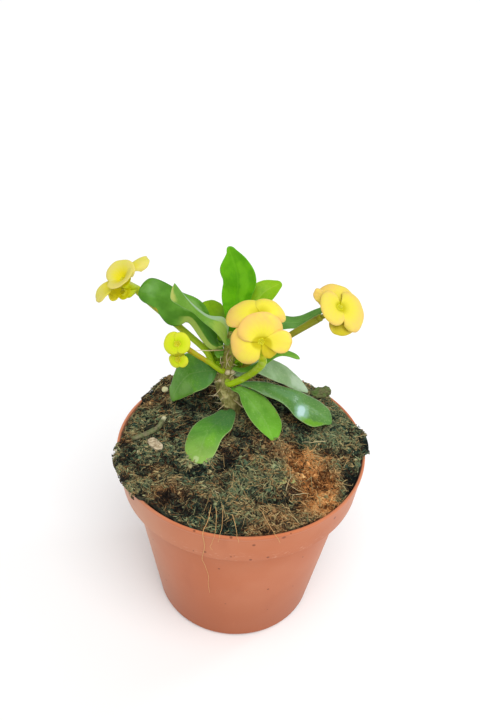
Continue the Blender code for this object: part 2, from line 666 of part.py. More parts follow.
def make_bloom(bloom):
    """A stalk in green, and on it the cups with their bracts, fused as one yellow body."""
    start, second = seat_on_stem(bloom.azimuth, bloom.height, 2 * bloom.radius)
    stalk_path = smooth_path([start, second, *bloom.course], np.linspace(0, 1, 11))
    swell = 1 + 0.25 * np.linspace(0, 1, 11) ** 4
    stalk = add_object(f"stalk_{bloom.name}", *tube_mesh(stalk_path, bloom.radius * swell, 8), "stalk")
    along = tangents_of(stalk_path)[-1]
    fork = stalk_path[-1] + along * (SEAT_GAP + 0.02)
    parts = [tube_mesh(np.array([fork, fork + along * 1.4, fork + along * 2.6]),
                       (1.1 * bloom.radius, 1.2 * bloom.radius, 0.8 * bloom.radius), 8)]
    for cup in bloom.cups:
        axis = unit(cup.looks)
        under = np.array(cup.centre) - axis * 1.3 * CUP_RADIUS
        bow = under - axis * 1.2
        path = smooth_path([fork + along * 1.7, bow, under], np.linspace(0, 1, 5))
        parts.append(tube_mesh(path, np.full(5, PEDICEL_SHARE * bloom.radius), 6))
        parts.append(cup_mesh(cup))
        parts += [bract_mesh(cup, *bract) for bract in cup.bracts]
    return stalk, fuse(f"bloom_{bloom.name}", parts, "bract")


def thorn_mesh(centre, outward, tilt, length, radius, sides):
    """A slim thorn: its root is sunk in the bark and its point leans by tilt."""
    aim = unit(outward + np.array([0.0, 0.0, tilt]))
    path = np.array([centre - aim * 1.2, centre + aim * 0.4 * length, centre + aim * length])
    return tube_mesh(path, (radius, 0.62 * radius, 0.16 * radius), sides)


def tree_of(points, faces):
    """A search tree over a mesh given in millimetres."""
    return BVHTree.FromPolygons([tuple(p) for p in points], [tuple(f) for f in faces])


def tree_of_object(obj):
    """A search tree over an object's mesh, in millimetres."""
    points = [tuple(c / MM for c in vertex.co) for vertex in obj.data.vertices]
    return tree_of(points, [tuple(polygon.vertices) for polygon in obj.data.polygons])


def make_stem(neighbours):
    """The woody stem with its thorns; a thorn that would touch a neighbour isn't grown."""
    stations = np.array(STEM_STATIONS)
    heights = np.linspace(stations[0, 2], stations[-1, 2], STEM_RINGS + 1)
    points, faces = [], []
    for ring, height in enumerate(heights):
        centre, radius = stem_at(height)
        buried = height < STEM_STATIONS[1][2] + 4
        for k in range(STEM_SIDES):
            angle = 2 * math.pi * (k + 0.5 * (ring % 2)) / STEM_SIDES
            ridge = 0 if buried else STEM_RIDGE * math.sin(3 * angle + 0.9 * ring)
            points.append(centre + radius * (1 + ridge) * np.array([math.cos(angle), math.sin(angle), 0]))
    for ring in range(STEM_RINGS):
        for k in range(STEM_SIDES):
            a, b = ring * STEM_SIDES + k, ring * STEM_SIDES + (k + 1) % STEM_SIDES
            c, d = a + STEM_SIDES, b + STEM_SIDES
            faces += [(a, b, d), (a, d, c)] if ring % 2 else [(a, b, c), (b, d, c)]
    last = STEM_RINGS * STEM_SIDES
    faces.append(tuple(reversed(range(STEM_SIDES))))
    faces.append(tuple(range(last, last + STEM_SIDES)))
    parts = [(points, faces)]
    for bearing, height, size in KNOBS:
        centre, radius = stem_at(height)
        outward = np.array([math.cos(math.radians(bearing)), math.sin(math.radians(bearing)), 0.0])
        path = np.array([centre + outward * (radius - 0.5), centre + outward * (radius + 0.5 * size),
                         centre + outward * (radius + size)])
        parts.append(tube_mesh(path, (size, size, 0.45 * size), 6))
    draw = random.Random(THORN_SEED)
    trees = [tree_of_object(obj) for obj in neighbours]
    for number in range(THORN_COUNT):
        height = THORN_FOOT + THORN_SPAN * (number + 0.5) / THORN_COUNT
        angle = math.radians(GOLDEN_ANGLE * number + draw.uniform(-14, 14))
        outward = np.array([math.cos(angle), math.sin(angle), 0.0])
        length = draw.uniform(*THORN_LENGTHS) * (1 if height < THORN_SHORT_ABOVE else THORN_SHORT_SHARE)
        tilt = draw.uniform(*THORN_TILTS)
        centre, radius = stem_at(height)
        root = centre + outward * radius
        guard = thorn_mesh(root, outward, tilt, length + THORN_ROOM[0], THORN_RADIUS + THORN_ROOM[1], THORN_SIDES)
        guard_tree = tree_of(*guard)
        if any(guard_tree.overlap(tree) for tree in trees):
            continue
        parts.append(thorn_mesh(root, outward, tilt, length, THORN_RADIUS, THORN_SIDES))
    return fuse("stem", parts, "bark")


def lowered_onto(points, faces, soil_tree):
    """The piece moved down, or up, until it lies a seat's gap above the soil's top."""
    points = np.array(points, float)
    gaps = []
    high = Vector((0.0, 0.0, 200.0))
    for p in points:
        hit = soil_tree.ray_cast(Vector((p[0], p[1], 200.0)), Vector((0.0, 0.0, -1.0)))[0]
        if hit is not None:
            gaps.append(p[2] - hit.z)
    piece = tree_of(points, faces)
    for x in np.arange(points[:, 0].min(), points[:, 0].max(), 0.4):
        for y in np.arange(points[:, 1].min(), points[:, 1].max(), 0.4):
            below = piece.ray_cast(Vector((x, y, 0.0)), Vector((0.0, 0.0, 1.0)))[0]
            ground = soil_tree.ray_cast(Vector((x, y, 200.0)), Vector((0.0, 0.0, -1.0)))[0]
            if below is not None and ground is not None:
                gaps.append(below.z - ground.z)
    points[:, 2] -= min(gaps) - SEAT_GAP
    return points, faces


def chip_mesh(centre, size, turn, seed):
    """A torn scrap of bark: a flat six-cornered slab with uneven corners."""
    draw = random.Random(seed)
    outline = []
    for k in range(7):
        angle = 2 * math.pi * k / 7
        grow = draw.uniform(0.75, 1.1)
        x, y = size[0] * grow * math.cos(angle), size[1] * grow * math.sin(angle)
        outline.append((centre[0] + x * math.cos(turn) - y * math.sin(turn),
                        centre[1] + x * math.sin(turn) + y * math.cos(turn)))
    low = [(x, y, draw.uniform(0.0, 0.35)) for x, y in outline]
    high = [(centre[0] + 0.86 * (x - centre[0]), centre[1] + 0.86 * (y - centre[1]),
             size[2] + draw.uniform(-0.3, 0.3)) for x, y in outline]
    top = (centre[0], centre[1], size[2] + 0.4)
    points = low + high + [top, (centre[0], centre[1], 0.1)]
    faces = []
    for k in range(7):
        following = (k + 1) % 7
        faces += [(k, following, 7 + following), (k, 7 + following, 7 + k)]
        faces += [(14, 7 + k, 7 + following), (15, following, k)]
    return points, faces


def make_litter(soil):
    """The few large scraps that lie on the soil: a chip, a curved twig, a pale bead and a bark lump."""
    tree = tree_of_object(soil)
    chip = chip_mesh((-40.5, -9.5), (4.2, 2.9, 1.3), math.radians(-40), 3)
    add_object("bark_chip", *lowered_onto(*chip, tree), "litter")
    lump = chip_mesh((40.5, 37.0), (5.5, 3.0, 2.6), math.radians(20), 8)
    add_object("bark_lump", *lowered_onto(*lump, tree), "litter")
    course = ((-52.0, -5.0, 101.0), (-46.0, -3.0, 102.6), (-40.5, 0.5, 104.0), (-38.0, 6.5, 105.5))
    path = smooth_path(course, np.linspace(0, 1, 9))
    thickness = 1.25 - 0.35 * np.abs(np.linspace(-1, 1, 9)) ** 3
    add_object("twig", *lowered_onto(*tube_mesh(path, thickness, 7), tree), "litter")
    bead = bmesh.new()
    bmesh.ops.create_icosphere(bead, subdivisions=2, radius=1.7)
    bead_points = [(v.co.x - 40.5, v.co.y + 31.5, 0.8 * v.co.z + 104.0) for v in bead.verts]
    bead_faces = [tuple(v.index for v in f.verts) for f in bead.faces]
    bead.free()
    add_object("pale_bead", *lowered_onto(bead_points, bead_faces, tree), "litter")


def main():
    clear_scene()
    make_pot()
    soil = make_soil()
    neighbours = [add_object(leaf.name, *leaf_mesh(leaf), "leaf") for leaf in LEAVES]
    for bloom in BLOOMS:
        neighbours += make_bloom(bloom)
    make_stem(neighbours + [soil])
    make_litter(soil)


main()
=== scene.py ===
"""The dressed model of a potted crown of thorns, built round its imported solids.

Lengths are millimetres in the pot's own frame: the origin is the centre of the pot's underside, +Z is
up, and -Y is the side that the front bloom faces. MM turns them into Blender's metres. Angles are in
degrees. Each form repeats its solid's formula on a finer grid and adds what is too fine for the solid:
veins, bark, thorns, moss, fibres and colour.
"""

import logging
import math
import random
from dataclasses import KW_ONLY, dataclass, field
from enum import Enum
from functools import reduce

import bpy
import numpy as np
import numpy.typing as npt
from mathutils import Matrix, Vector
from mathutils.bvhtree import BVHTree


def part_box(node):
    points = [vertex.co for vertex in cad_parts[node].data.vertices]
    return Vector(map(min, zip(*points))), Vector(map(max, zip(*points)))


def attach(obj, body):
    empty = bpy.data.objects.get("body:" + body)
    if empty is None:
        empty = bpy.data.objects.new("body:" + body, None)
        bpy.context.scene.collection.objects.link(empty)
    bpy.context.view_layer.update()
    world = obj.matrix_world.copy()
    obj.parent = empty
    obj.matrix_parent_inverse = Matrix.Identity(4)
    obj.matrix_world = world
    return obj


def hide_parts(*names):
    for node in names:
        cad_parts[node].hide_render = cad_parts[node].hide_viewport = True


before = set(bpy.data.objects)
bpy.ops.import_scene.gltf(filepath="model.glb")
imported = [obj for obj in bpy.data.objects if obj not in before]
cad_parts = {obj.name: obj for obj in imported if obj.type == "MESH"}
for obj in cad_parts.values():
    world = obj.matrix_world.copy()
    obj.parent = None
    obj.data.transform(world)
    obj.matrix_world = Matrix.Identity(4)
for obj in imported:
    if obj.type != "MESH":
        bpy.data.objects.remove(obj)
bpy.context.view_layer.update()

LOG = logging.getLogger("crown_of_thorns")
MM = 0.001
BODY = "root"

Material = bpy.types.Material
Object = bpy.types.Object
Socket = bpy.types.NodeSocket
Floats = npt.NDArray[np.float64]
Ints = npt.NDArray[np.int64]
Colour = tuple[int, int, int]
Triple = tuple[float, float, float]
Four = tuple[float, float, float, float]
Pair = tuple[float, float]
Ramp = tuple[tuple[float, Colour], ...]

# The pot's driving sizes, as the solids have them.
POT_HEIGHT = 98.0
RIM_RADIUS = 60.0
COLLAR_HEIGHT = 17.5
COLLAR_FOOT_RADIUS = 58.0
BODY_TOP_RADIUS = 53.5
BASE_RADIUS = 41.0
BASE_CORNER = 2.5
WALL = 1.2
FLOOR = 3.2
SEAT_GAP = 0.3
LEDGE = POT_HEIGHT - COLLAR_HEIGHT
BED_GAP = 2.5 * SEAT_GAP
BORE = RIM_RADIUS - WALL - BED_GAP


def paint(colour: Colour) -> Four:
    """Screen values from 0 to 255 as linear light with full alpha; up to 10 the curve is a straight line."""
    linear = [((c / 255 + 0.055) / 1.055) ** 2.4 if c > 10 else c / 255 / 12.92 for c in colour]
    return (linear[0], linear[1], linear[2], 1.0)


def unit(vectors: Floats | Triple) -> Floats:
    """Vectors at length one, along their last axis: each one over its own length."""
    vectors = np.asarray(vectors, float)
    return vectors / np.maximum(np.linalg.norm(vectors, axis=-1, keepdims=True), 1e-12)


def ease(value: Floats, low: float, high: float) -> Floats:
    """A smooth step: 3 t^2 - 2 t^3, where t goes from 0 at low to 1 at high."""
    t = np.clip((np.asarray(value, float) - low) / (high - low), 0, 1)
    return t * t * (3 - 2 * t)


def bell(value: Floats, width: float) -> Floats:
    """A bell over a value: exp(-(value / width)^2)."""
    return np.exp(-((value / width) ** 2))


def level_places(x: Floats, y: Floats) -> Floats:
    """Places at height 0, with x, y and z along the last axis."""
    return np.stack([x, y, 0 * x], axis=-1)


def outward_way(bearing: float, rise: float = 0.0) -> Floats:
    """The level unit direction at a bearing, with a rise as its z."""
    turn = math.radians(bearing)
    return np.array([math.cos(turn), math.sin(turn), rise])


def round_angles(count: int) -> Floats:
    """A number of even angles once round, in radians."""
    return 2 * math.pi * np.arange(count) / count


def round_places(angle: Floats, radius: Floats | float, height: Floats | float) -> Floats:
    """Places at angles and radii round Z and at heights, with x, y and z along the last axis."""
    return np.stack(np.broadcast_arrays(radius * np.cos(angle), radius * np.sin(angle), height), axis=-1)


def smooth_path(points: Floats, shares: Floats) -> Floats:
    """Points of a Catmull-Rom curve through all the given points, at shares of their summed chords.

    Args:
        points: The points that the curve passes through, in order.
        shares: Where to read it, from 0 at the first point to 1 at the last.

    Returns:
        One point for each share.
    """
    knots = np.asarray(points, float)
    knots = np.vstack([2 * knots[0] - knots[1], knots, 2 * knots[-1] - knots[-2]])
    chords = np.linalg.norm(np.diff(knots[1:-1], axis=0), axis=1)
    ends = np.concatenate([[0], np.cumsum(chords)]) / chords.sum()
    span = np.clip(np.searchsorted(ends, shares, side="right") - 1, 0, len(chords) - 1)
    t = ((shares - ends[span]) / (ends[span + 1] - ends[span]))[:, None]
    a, b, c, d = (knots[span + k] for k in range(4))
    return 0.5 * (2 * b + (c - a) * t + (2 * a - 5 * b + 4 * c - d) * t**2 + (3 * b - a - 3 * c + d) * t**3)


def tangents_of(paths: Floats) -> Floats:
    """Unit directions along paths, by central differences over the last axis but one."""
    return unit(np.gradient(paths, axis=-2))


def cell_noise(cells: Ints, seed: int) -> Floats:
    """A fixed number from -1 to 1 for each whole-numbered cell, by mixing its bits.

    Args:
        cells: Whole x, y and z along the last axis.
        seed: Chooses another set of numbers.

    Returns:
        One number for each cell.
    """
    mixed = seed * 2654435761
    for axis, factor in enumerate((73856093, 19349663, 83492791)):
        mixed = mixed ^ cells[..., axis] * factor
    mixed = (mixed & 0xFFFFFFFF).astype(np.uint64)
    for shift, factor in ((15, 2246822519), (13, 3266489917), (16, 668265263)):
        mixed = ((mixed ^ (mixed >> np.uint64(shift))) * np.uint64(factor)) & np.uint64(0xFFFFFFFF)
    return (mixed & np.uint64(0xFFFFFF)).astype(float) / 0x7FFFFF - 1


def rolling(points: Floats, size: float, seed: int, octaves: int = 1) -> Floats:
    """Smooth noise: cell numbers blended with smooth steps between cells, halved in size each octave.

    Args:
        points: Places, with x, y and z along the last axis.
        size: The size of one cell, in the points' own units.
        seed: Chooses another pattern.
        octaves: How many finer layers are added, each at 0.55 of the last one's height.

    Returns:
        Numbers from about -1 to 1.
    """
    total = np.zeros(points.shape[:-1])
    for octave in range(octaves):
        scaled = points / (size * 0.5**octave) + 31.7 * octave
        low = np.floor(scaled).astype(np.int64)
        t = scaled - low
        t = t * t * (3 - 2 * t)
        layer = np.zeros(points.shape[:-1])
        for corner in range(8):
            step = np.array([corner & 1, corner >> 1 & 1, corner >> 2 & 1])
            weight = np.prod(np.where(step, t, 1 - t), axis=-1)
            layer += weight * cell_noise(low + step, seed + octave)
        total += layer * 0.55**octave
    return total


def grid_quads(rows: int, columns: int, wrap: bool = False) -> Ints:
    """The quads of a grid of points held row by row; wrap joins its last column to its first."""
    grid = np.pad(np.arange(rows * columns).reshape(rows, columns), ((0, 0), (0, int(wrap))), "wrap")
    return np.stack([grid[:-1, :-1], grid[:-1, 1:], grid[1:, 1:], grid[1:, :-1]], axis=-1).reshape(-1, 4)


@dataclass
class Surface:
    """A closed mesh in the making, in millimetres, with the numbers that its finish reads at its points."""

    points: Floats
    quads: Ints = field(default_factory=lambda: np.zeros((0, 4), np.int64))
    tris: Ints = field(default_factory=lambda: np.zeros((0, 3), np.int64))
    fields: dict[str, Floats] = field(default_factory=dict)
    flat: bool = False

    def outward(self) -> "Surface":
        """Turns the faces out, where the volume that they enclose, the sum of a . (b x c), is negative.

        Returns:
            This surface.
        """
        corners = np.vstack([self.tris, self.quads[:, [0, 1, 2]], self.quads[:, [0, 2, 3]]])
        a, b, c = (self.points[corners[:, k]] for k in range(3))
        if np.einsum("ij,ij->", a, np.cross(b, c)) < 0:
            self.quads, self.tris = self.quads[:, ::-1], self.tris[:, ::-1]
        return self

    @staticmethod
    def joined(parts: list["Surface"]) -> "Surface":
        """Several surfaces as one, with the fields that the first one has.

        Args:
            parts: The surfaces, each with the same fields.

        Returns:
            One surface that holds them all as loose bodies.
        """
        starts = np.cumsum([0] + [len(part.points) for part in parts[:-1]])
        return Surface(
            np.vstack([part.points for part in parts]),
            np.vstack([part.quads + start for part, start in zip(parts, starts)]),
            np.vstack([part.tris + start for part, start in zip(parts, starts)]),
            {name: np.concatenate([part.fields[name] for part in parts]) for name in parts[0].fields},
        )

    def object(self, name: str) -> Object:
        """The surface as a mesh object at the origin, smooth-shaded unless it is flat.

        Args:
            name: The object's name.

        Returns:
            The new object, linked to the scene.
        """
        mesh = bpy.data.meshes.new(name)
        mesh.vertices.add(len(self.points))
        mesh.vertices.foreach_set("co", (self.points * MM).astype(np.float32).ravel())
        corners = np.concatenate([self.quads.ravel(), self.tris.ravel()]).astype(np.int32)
        sizes = np.concatenate([np.full(len(self.quads), 4), np.full(len(self.tris), 3)])
        mesh.loops.add(len(corners))
        mesh.loops.foreach_set("vertex_index", corners)
        mesh.polygons.add(len(sizes))
        mesh.polygons.foreach_set("loop_start", (np.cumsum(sizes) - sizes).astype(np.int32))
        mesh.update(calc_edges=True)
        for key, values in self.fields.items():
            layer = mesh.attributes.new(key, "FLOAT", "POINT")
            layer.data.foreach_set("value", np.asarray(values, np.float32).ravel())
        (mesh.shade_flat if self.flat else mesh.shade_smooth)()
        made = bpy.data.objects.new(name, mesh)
        bpy.context.scene.collection.objects.link(made)
        return made


def blade(middle: Floats, normal: Floats, thick: Floats, fields: dict[str, Floats]) -> Surface:
    """A closed thin sheet: a face half a thickness to either side of a middle grid, and a band round them.

    Args:
        middle: The grid of middle points, rows by columns by 3.
        normal: The unit direction of the upper face at each of them.
        thick: The thickness at each of them.
        fields: Numbers at each of them, rows by columns.

    Returns:
        The sheet. Its field "upper" is 1 on the upper face and 0 on the lower one.
    """
    rows, columns = middle.shape[:2]
    half = normal * (thick[..., None] / 2)
    count = rows * columns
    number = np.arange(count).reshape(rows, columns)
    loop = np.concatenate([number[0, :-1], number[:-1, -1], number[-1, :0:-1], number[:0:-1, 0]])
    band = np.stack([loop, count + loop, count + np.roll(loop, -1), np.roll(loop, -1)], axis=1)
    quads = grid_quads(rows, columns)
    kept = {name: np.tile(np.broadcast_to(values, (rows, columns)).ravel(), 2)
            for name, values in fields.items()}
    kept["upper"] = np.repeat([1.0, 0.0], count)
    points = np.concatenate([(middle + half).reshape(-1, 3), (middle - half).reshape(-1, 3)])
    return Surface(points, np.vstack([quads, quads[:, ::-1] + count, band]), fields=kept).outward()


def end_fans(rings: int, sides: int) -> Ints:
    """The triangles that close a run of rings, to two middle points numbered after all the rings' points.

    Args:
        rings: How many rings there are.
        sides: How many points a ring has.

    Returns:
        Three point numbers for each triangle, the first ring's fan before the last ring's.
    """
    turn = np.arange(sides)
    following, low, top = (turn + 1) % sides, np.full(sides, rings * sides), (rings - 1) * sides
    return np.vstack([np.stack([low, following, turn], axis=1),
                      np.stack([low + 1, top + turn, top + following], axis=1)])


def capped(rings: Floats, ends: Floats) -> Surface:
    """A closed body: a skin through rings of points, and a fan from each end's middle point."""
    size = rings.shape[:2]
    return Surface(np.vstack([*rings, ends]), grid_quads(*size, True), end_fans(*size)).outward()


def tubes(paths: Floats, radii: Floats, sides: int, tip: float = 0.0,
          fields: dict[str, Floats] | None = None, relief: Floats | float = 0.0) -> Surface:
    """Closed round tubes along many paths: centre + (radius + relief) * (cos a * across + sin a * over).

    Args:
        paths: The tubes' centres, tubes by steps by 3.
        radii: Their radii, tubes by steps.
        sides: How many points there are round a tube.
        tip: How far each end's middle stands out, in radii: 0 is a flat end.
        fields: Numbers at each centre, tubes by steps.
        relief: What is added to the radius, tubes by steps by sides.

    Returns:
        All the tubes as one surface. Its field "along" goes from 0 to 1 on each tube.
    """
    count, steps = paths.shape[:2]
    along = tangents_of(paths)
    lean = np.where(np.abs(along[:, :1, 2:]) > 0.8, [[[1.0, 0.13, 0.0]]], [[[0.11, 0.07, 1.0]]])
    across = unit(lean - along * np.sum(lean * along, axis=-1, keepdims=True))
    over = np.cross(along, across)
    angle = round_angles(sides)
    reach = (radii[..., None] + relief)[..., None]
    ring = np.cos(angle)[:, None] * across[:, :, None] + np.sin(angle)[:, None] * over[:, :, None]
    rings = paths[:, :, None] + reach * ring
    first = paths[:, :1] - along[:, :1] * (tip * radii[:, :1, None])
    last = paths[:, -1:] + along[:, -1:] * (tip * radii[:, -1:, None])
    points = np.concatenate([rings.reshape(count, -1, 3), first, last], axis=1)
    starts = (np.arange(count) * (steps * sides + 2))[:, None, None]
    numbers = {"along": np.linspace(0, 1, steps), **(fields or {})}
    kept = {}
    for name, values in numbers.items():
        values = np.broadcast_to(values, (count, steps))
        ringed = np.repeat(values, sides, axis=1)
        kept[name] = np.concatenate([ringed, values[:, :1], values[:, -1:]], axis=1).ravel()
    quads = (grid_quads(steps, sides, True)[None] + starts).reshape(-1, 4)
    return Surface(points.reshape(-1, 3), quads, (end_fans(steps, sides)[None] + starts).reshape(-1, 3),
                   kept).outward()


def turned(profile: Floats, segments: int) -> Surface:
    """A closed body of revolution about Z, from rows of radius and height that begin and end on it."""
    rings = round_places(round_angles(segments), profile[1:-1, :1], profile[1:-1, 1:])
    return capped(rings, np.array([[0, 0, profile[0, 1]], [0, 0, profile[-1, 1]]]))


def rounded(profile: Floats, radius: float, steps: int = 5) -> Floats:
    """A profile with each inner corner replaced by a parabolic arc that starts and ends a radius from it.

    Args:
        profile: Rows of radius and height.
        radius: How far from each corner its arc starts; half the shorter side at most.
        steps: How many points an arc has.

    Returns:
        The finer profile.
    """
    found = [profile[:1]]
    for before, corner, after in zip(profile[:-2], profile[1:-1], profile[2:]):
        legs = [before - corner, after - corner]
        lengths = [float(np.linalg.norm(leg)) for leg in legs]
        reach = min(radius, 0.45 * min(lengths))
        start, end = (corner + leg / length * reach for leg, length in zip(legs, lengths))
        t = np.linspace(0, 1, steps)[:, None]
        found.append((1 - t) ** 2 * start + 2 * t * (1 - t) * corner + t**2 * end)
    return np.vstack([*found, profile[-1:]])


class Value:
    """A number that varies over a surface; Python's operators on it add Math nodes."""

    def __init__(self, shade: "Shade", socket: Socket) -> None:
        """Wraps the output that gives the number, in the tree of this shade."""
        self.shade, self.socket = shade, socket

    def maths(self, operation: str, *others: "Value | float",
              first: "Value | float | None" = None) -> "Value":
        """One Math node's result, on this value or on the one given first, and on its further inputs."""
        inputs = dict(enumerate((self if first is None else first, *others)))
        return self.shade.value("ShaderNodeMath", {"operation": operation}, inputs)

    def __add__(self, other: "Value | float") -> "Value":
        """This value plus another."""
        return self.maths("ADD", other)

    def __sub__(self, other: "Value | float") -> "Value":
        """This value less another."""
        return self.maths("SUBTRACT", other)

    def __rsub__(self, other: float) -> "Value":
        """A number less this value."""
        return self.maths("SUBTRACT", self, first=other)

    def __mul__(self, other: "Value | float") -> "Value":
        """This value times another."""
        return self.maths("MULTIPLY", other)

    __radd__ = __add__
    __rmul__ = __mul__

    def __pow__(self, other: float) -> "Value":
        """This value to a power."""
        return self.maths("POWER", other)

    def __abs__(self) -> "Value":
        """This value without its sign."""
        return self.maths("ABSOLUTE")

    def clear(self) -> "Value":
        """This value kept between 0 and 1."""
        return self.maths("MINIMUM", 1.0).maths("MAXIMUM", 0.0)

    def step(self, low: float, high: float) -> "Value":
        """A smooth step of this value: 0 up to low, and 1 from high on."""
        sockets = {"Value": self, "From Min": low, "From Max": high}
        return self.shade.value("ShaderNodeMapRange", {"interpolation_type": "SMOOTHSTEP"}, sockets)


Tone = Socket | Colour


class Shade:
    """One material's node tree, with its Principled shader at the end."""

    def __init__(self, name: str) -> None:
        """Makes a material's empty tree, which reads places on the piece in millimetres.

        Args:
            name: The material's name.
        """
        self.material = bpy.data.materials.new(name)
        self.material.use_nodes = True
        self.tree = self.material.node_tree
        self.tree.nodes.clear()
        grown = {"Vector": self.add("ShaderNodeTexCoord").outputs["Object"], "Scale": (1 / MM,) * 3}
        self.place = self.add("ShaderNodeMapping", {}, grown).outputs[0]

    def add(self, kind: str, settings: dict | None = None, sockets: dict | None = None) -> bpy.types.Node:
        """Adds one node.

        Args:
            kind: The node's type.
            settings: Its properties, set first; "stops" are a ramp's pairs of place and screen colour.
            sockets: A value, a link or a screen colour for each input, by name or number.

        Returns:
            The node.
        """
        node = self.tree.nodes.new(kind)
        for key, value in (settings or {}).items():
            if key != "stops":
                setattr(node, key, value)
                continue
            elements = node.color_ramp.elements
            while len(elements) < len(value):
                elements.new(0.5)
            for element, (place, colour) in zip(elements, value):
                element.position, element.color = place, paint(colour)
        for key, value in (sockets or {}).items():
            value = value.socket if isinstance(value, Value) else value
            socket = node.inputs[key]
            if isinstance(value, Socket):
                self.tree.links.new(value, socket)
            else:
                socket.default_value = paint(value) if socket.type == "RGBA" else value
        return node

    def value(self, kind: str, settings: dict, sockets: dict, output: int | str = 0) -> Value:
        """The number that a new node gives, with its settings and sockets as add takes them."""
        return Value(self, self.add(kind, settings, sockets).outputs[output])

    def attribute(self, name: str) -> Value:
        """The number that the piece's mesh keeps at its points under this name."""
        return self.value("ShaderNodeAttribute", {"attribute_name": name}, {}, "Fac")

    def noise(self, size: float, detail: float, stretch: Triple = (1, 1, 1), shift: float = 0.0) -> Value:
        """Smooth noise from 0 to 1 over the piece.

        Args:
            size: The size of one patch, in millimetres.
            detail: How many finer layers it has.
            stretch: How many times longer a patch is along each axis.
            shift: Moves the pattern, so that two of one size differ.

        Returns:
            The noise.
        """
        scale = tuple(1 / (size * s) for s in stretch)
        moved = {"Vector": self.place, "Scale": scale, "Location": (shift,) * 3}
        placed = self.add("ShaderNodeMapping", {}, moved).outputs[0]
        return self.value("ShaderNodeTexNoise", {}, {"Vector": placed, "Scale": 1.0, "Detail": detail})

    def uneven(self, name: str, size: float, detail: float) -> Value:
        """The mesh's own number under this name, up to 0.15 more or less by noise."""
        return self.attribute(name) + (self.noise(size, detail) - 0.5) * 0.3

    def apart(self, spot: Triple) -> Value:
        """The distance from a spot on the piece, in millimetres."""
        ends = {0: self.place, 1: spot}
        return self.value("ShaderNodeVectorMath", {"operation": "DISTANCE"}, ends, "Value")

    def specks(self, size: float, edge: Pair, rare: float) -> Value:
        """Round specks at the middles of some of the cells about scattered points.

        Args:
            size: The size of one cell, in millimetres.
            edge: Where a speck starts to fade and where it ends, in cell sizes from its middle.
            rare: The share of the cells that have no speck, by each cell's own fixed number.

        Returns:
            1 in a speck and 0 outside.
        """
        node = self.add("ShaderNodeTexVoronoi", {}, {"Vector": self.place, "Scale": 1 / size})
        own = self.value("ShaderNodeSeparateColor", {}, {0: node.outputs["Color"]})
        near = 1 - Value(self, node.outputs["Distance"]).step(*edge)
        return near * own.step(rare, rare + 0.04)

    def ramp(self, value: Value, *stops: tuple[float, Colour]) -> Socket:
        """A colour for each value, blended between stops of a number and a screen colour."""
        return self.add("ShaderNodeValToRGB", {"stops": stops}, {0: value}).outputs[0]

    def mix(self, share: "Value | float", first: Tone, second: Tone) -> Socket:
        """Two colours blended: a share of 0 gives the first and 1 the second."""
        return self.add("ShaderNodeMix", {"data_type": "RGBA"}, {0: share, 6: first, 7: second}).outputs[2]

    def coats(self, base: Tone, *coats: tuple[Value, Tone]) -> Tone:
        """A base with further colours laid over it, each one given as its share and its colour."""
        return reduce(lambda under, coat: self.mix(coat[0], under, coat[1]), coats, base)

    def bump(self, height: Value, depth: float) -> Socket:
        """A normal from a height map whose height 1 stands for this depth, in millimetres."""
        return self.add("ShaderNodeBump", {}, {"Distance": depth * MM, "Height": height}).outputs[0]

    def finished(self, colour: Tone, rough: "Value | float", shine: float,
                 **sockets: "Value | Tone | float") -> Material:
        """Ends the tree with a Principled shader.

        Args:
            colour: Its base colour.
            rough: Its roughness.
            shine: Its specular level.
            sockets: Further inputs, with _ for the space in their names.

        Returns:
            The material.
        """
        named = {key.replace("_", " "): value for key, value in sockets.items()}
        named |= {"Base Color": colour, "Roughness": rough, "Specular IOR Level": shine}
        shader = self.add("ShaderNodeBsdfPrincipled", {}, named).outputs[0]
        self.add("ShaderNodeOutputMaterial", {}, {"Surface": shader})
        return self.material


def place(piece: Object, material: Material, slot: str, *nodes: str) -> Object:
    """Dresses a piece, makes it ride on the body and lets it stand for its solids.

    Args:
        piece: The new piece.
        material: Its material.
        slot: The record's material slot; it is not used.
        nodes: The solids that it stands for.

    Returns:
        The piece.
    """
    piece.data.materials.clear()
    piece.data.materials.append(material)
    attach(piece, BODY)
    if nodes:
        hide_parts(*nodes)
    LOG.info("%s: %d faces", piece.name, len(piece.data.polygons))
    return piece


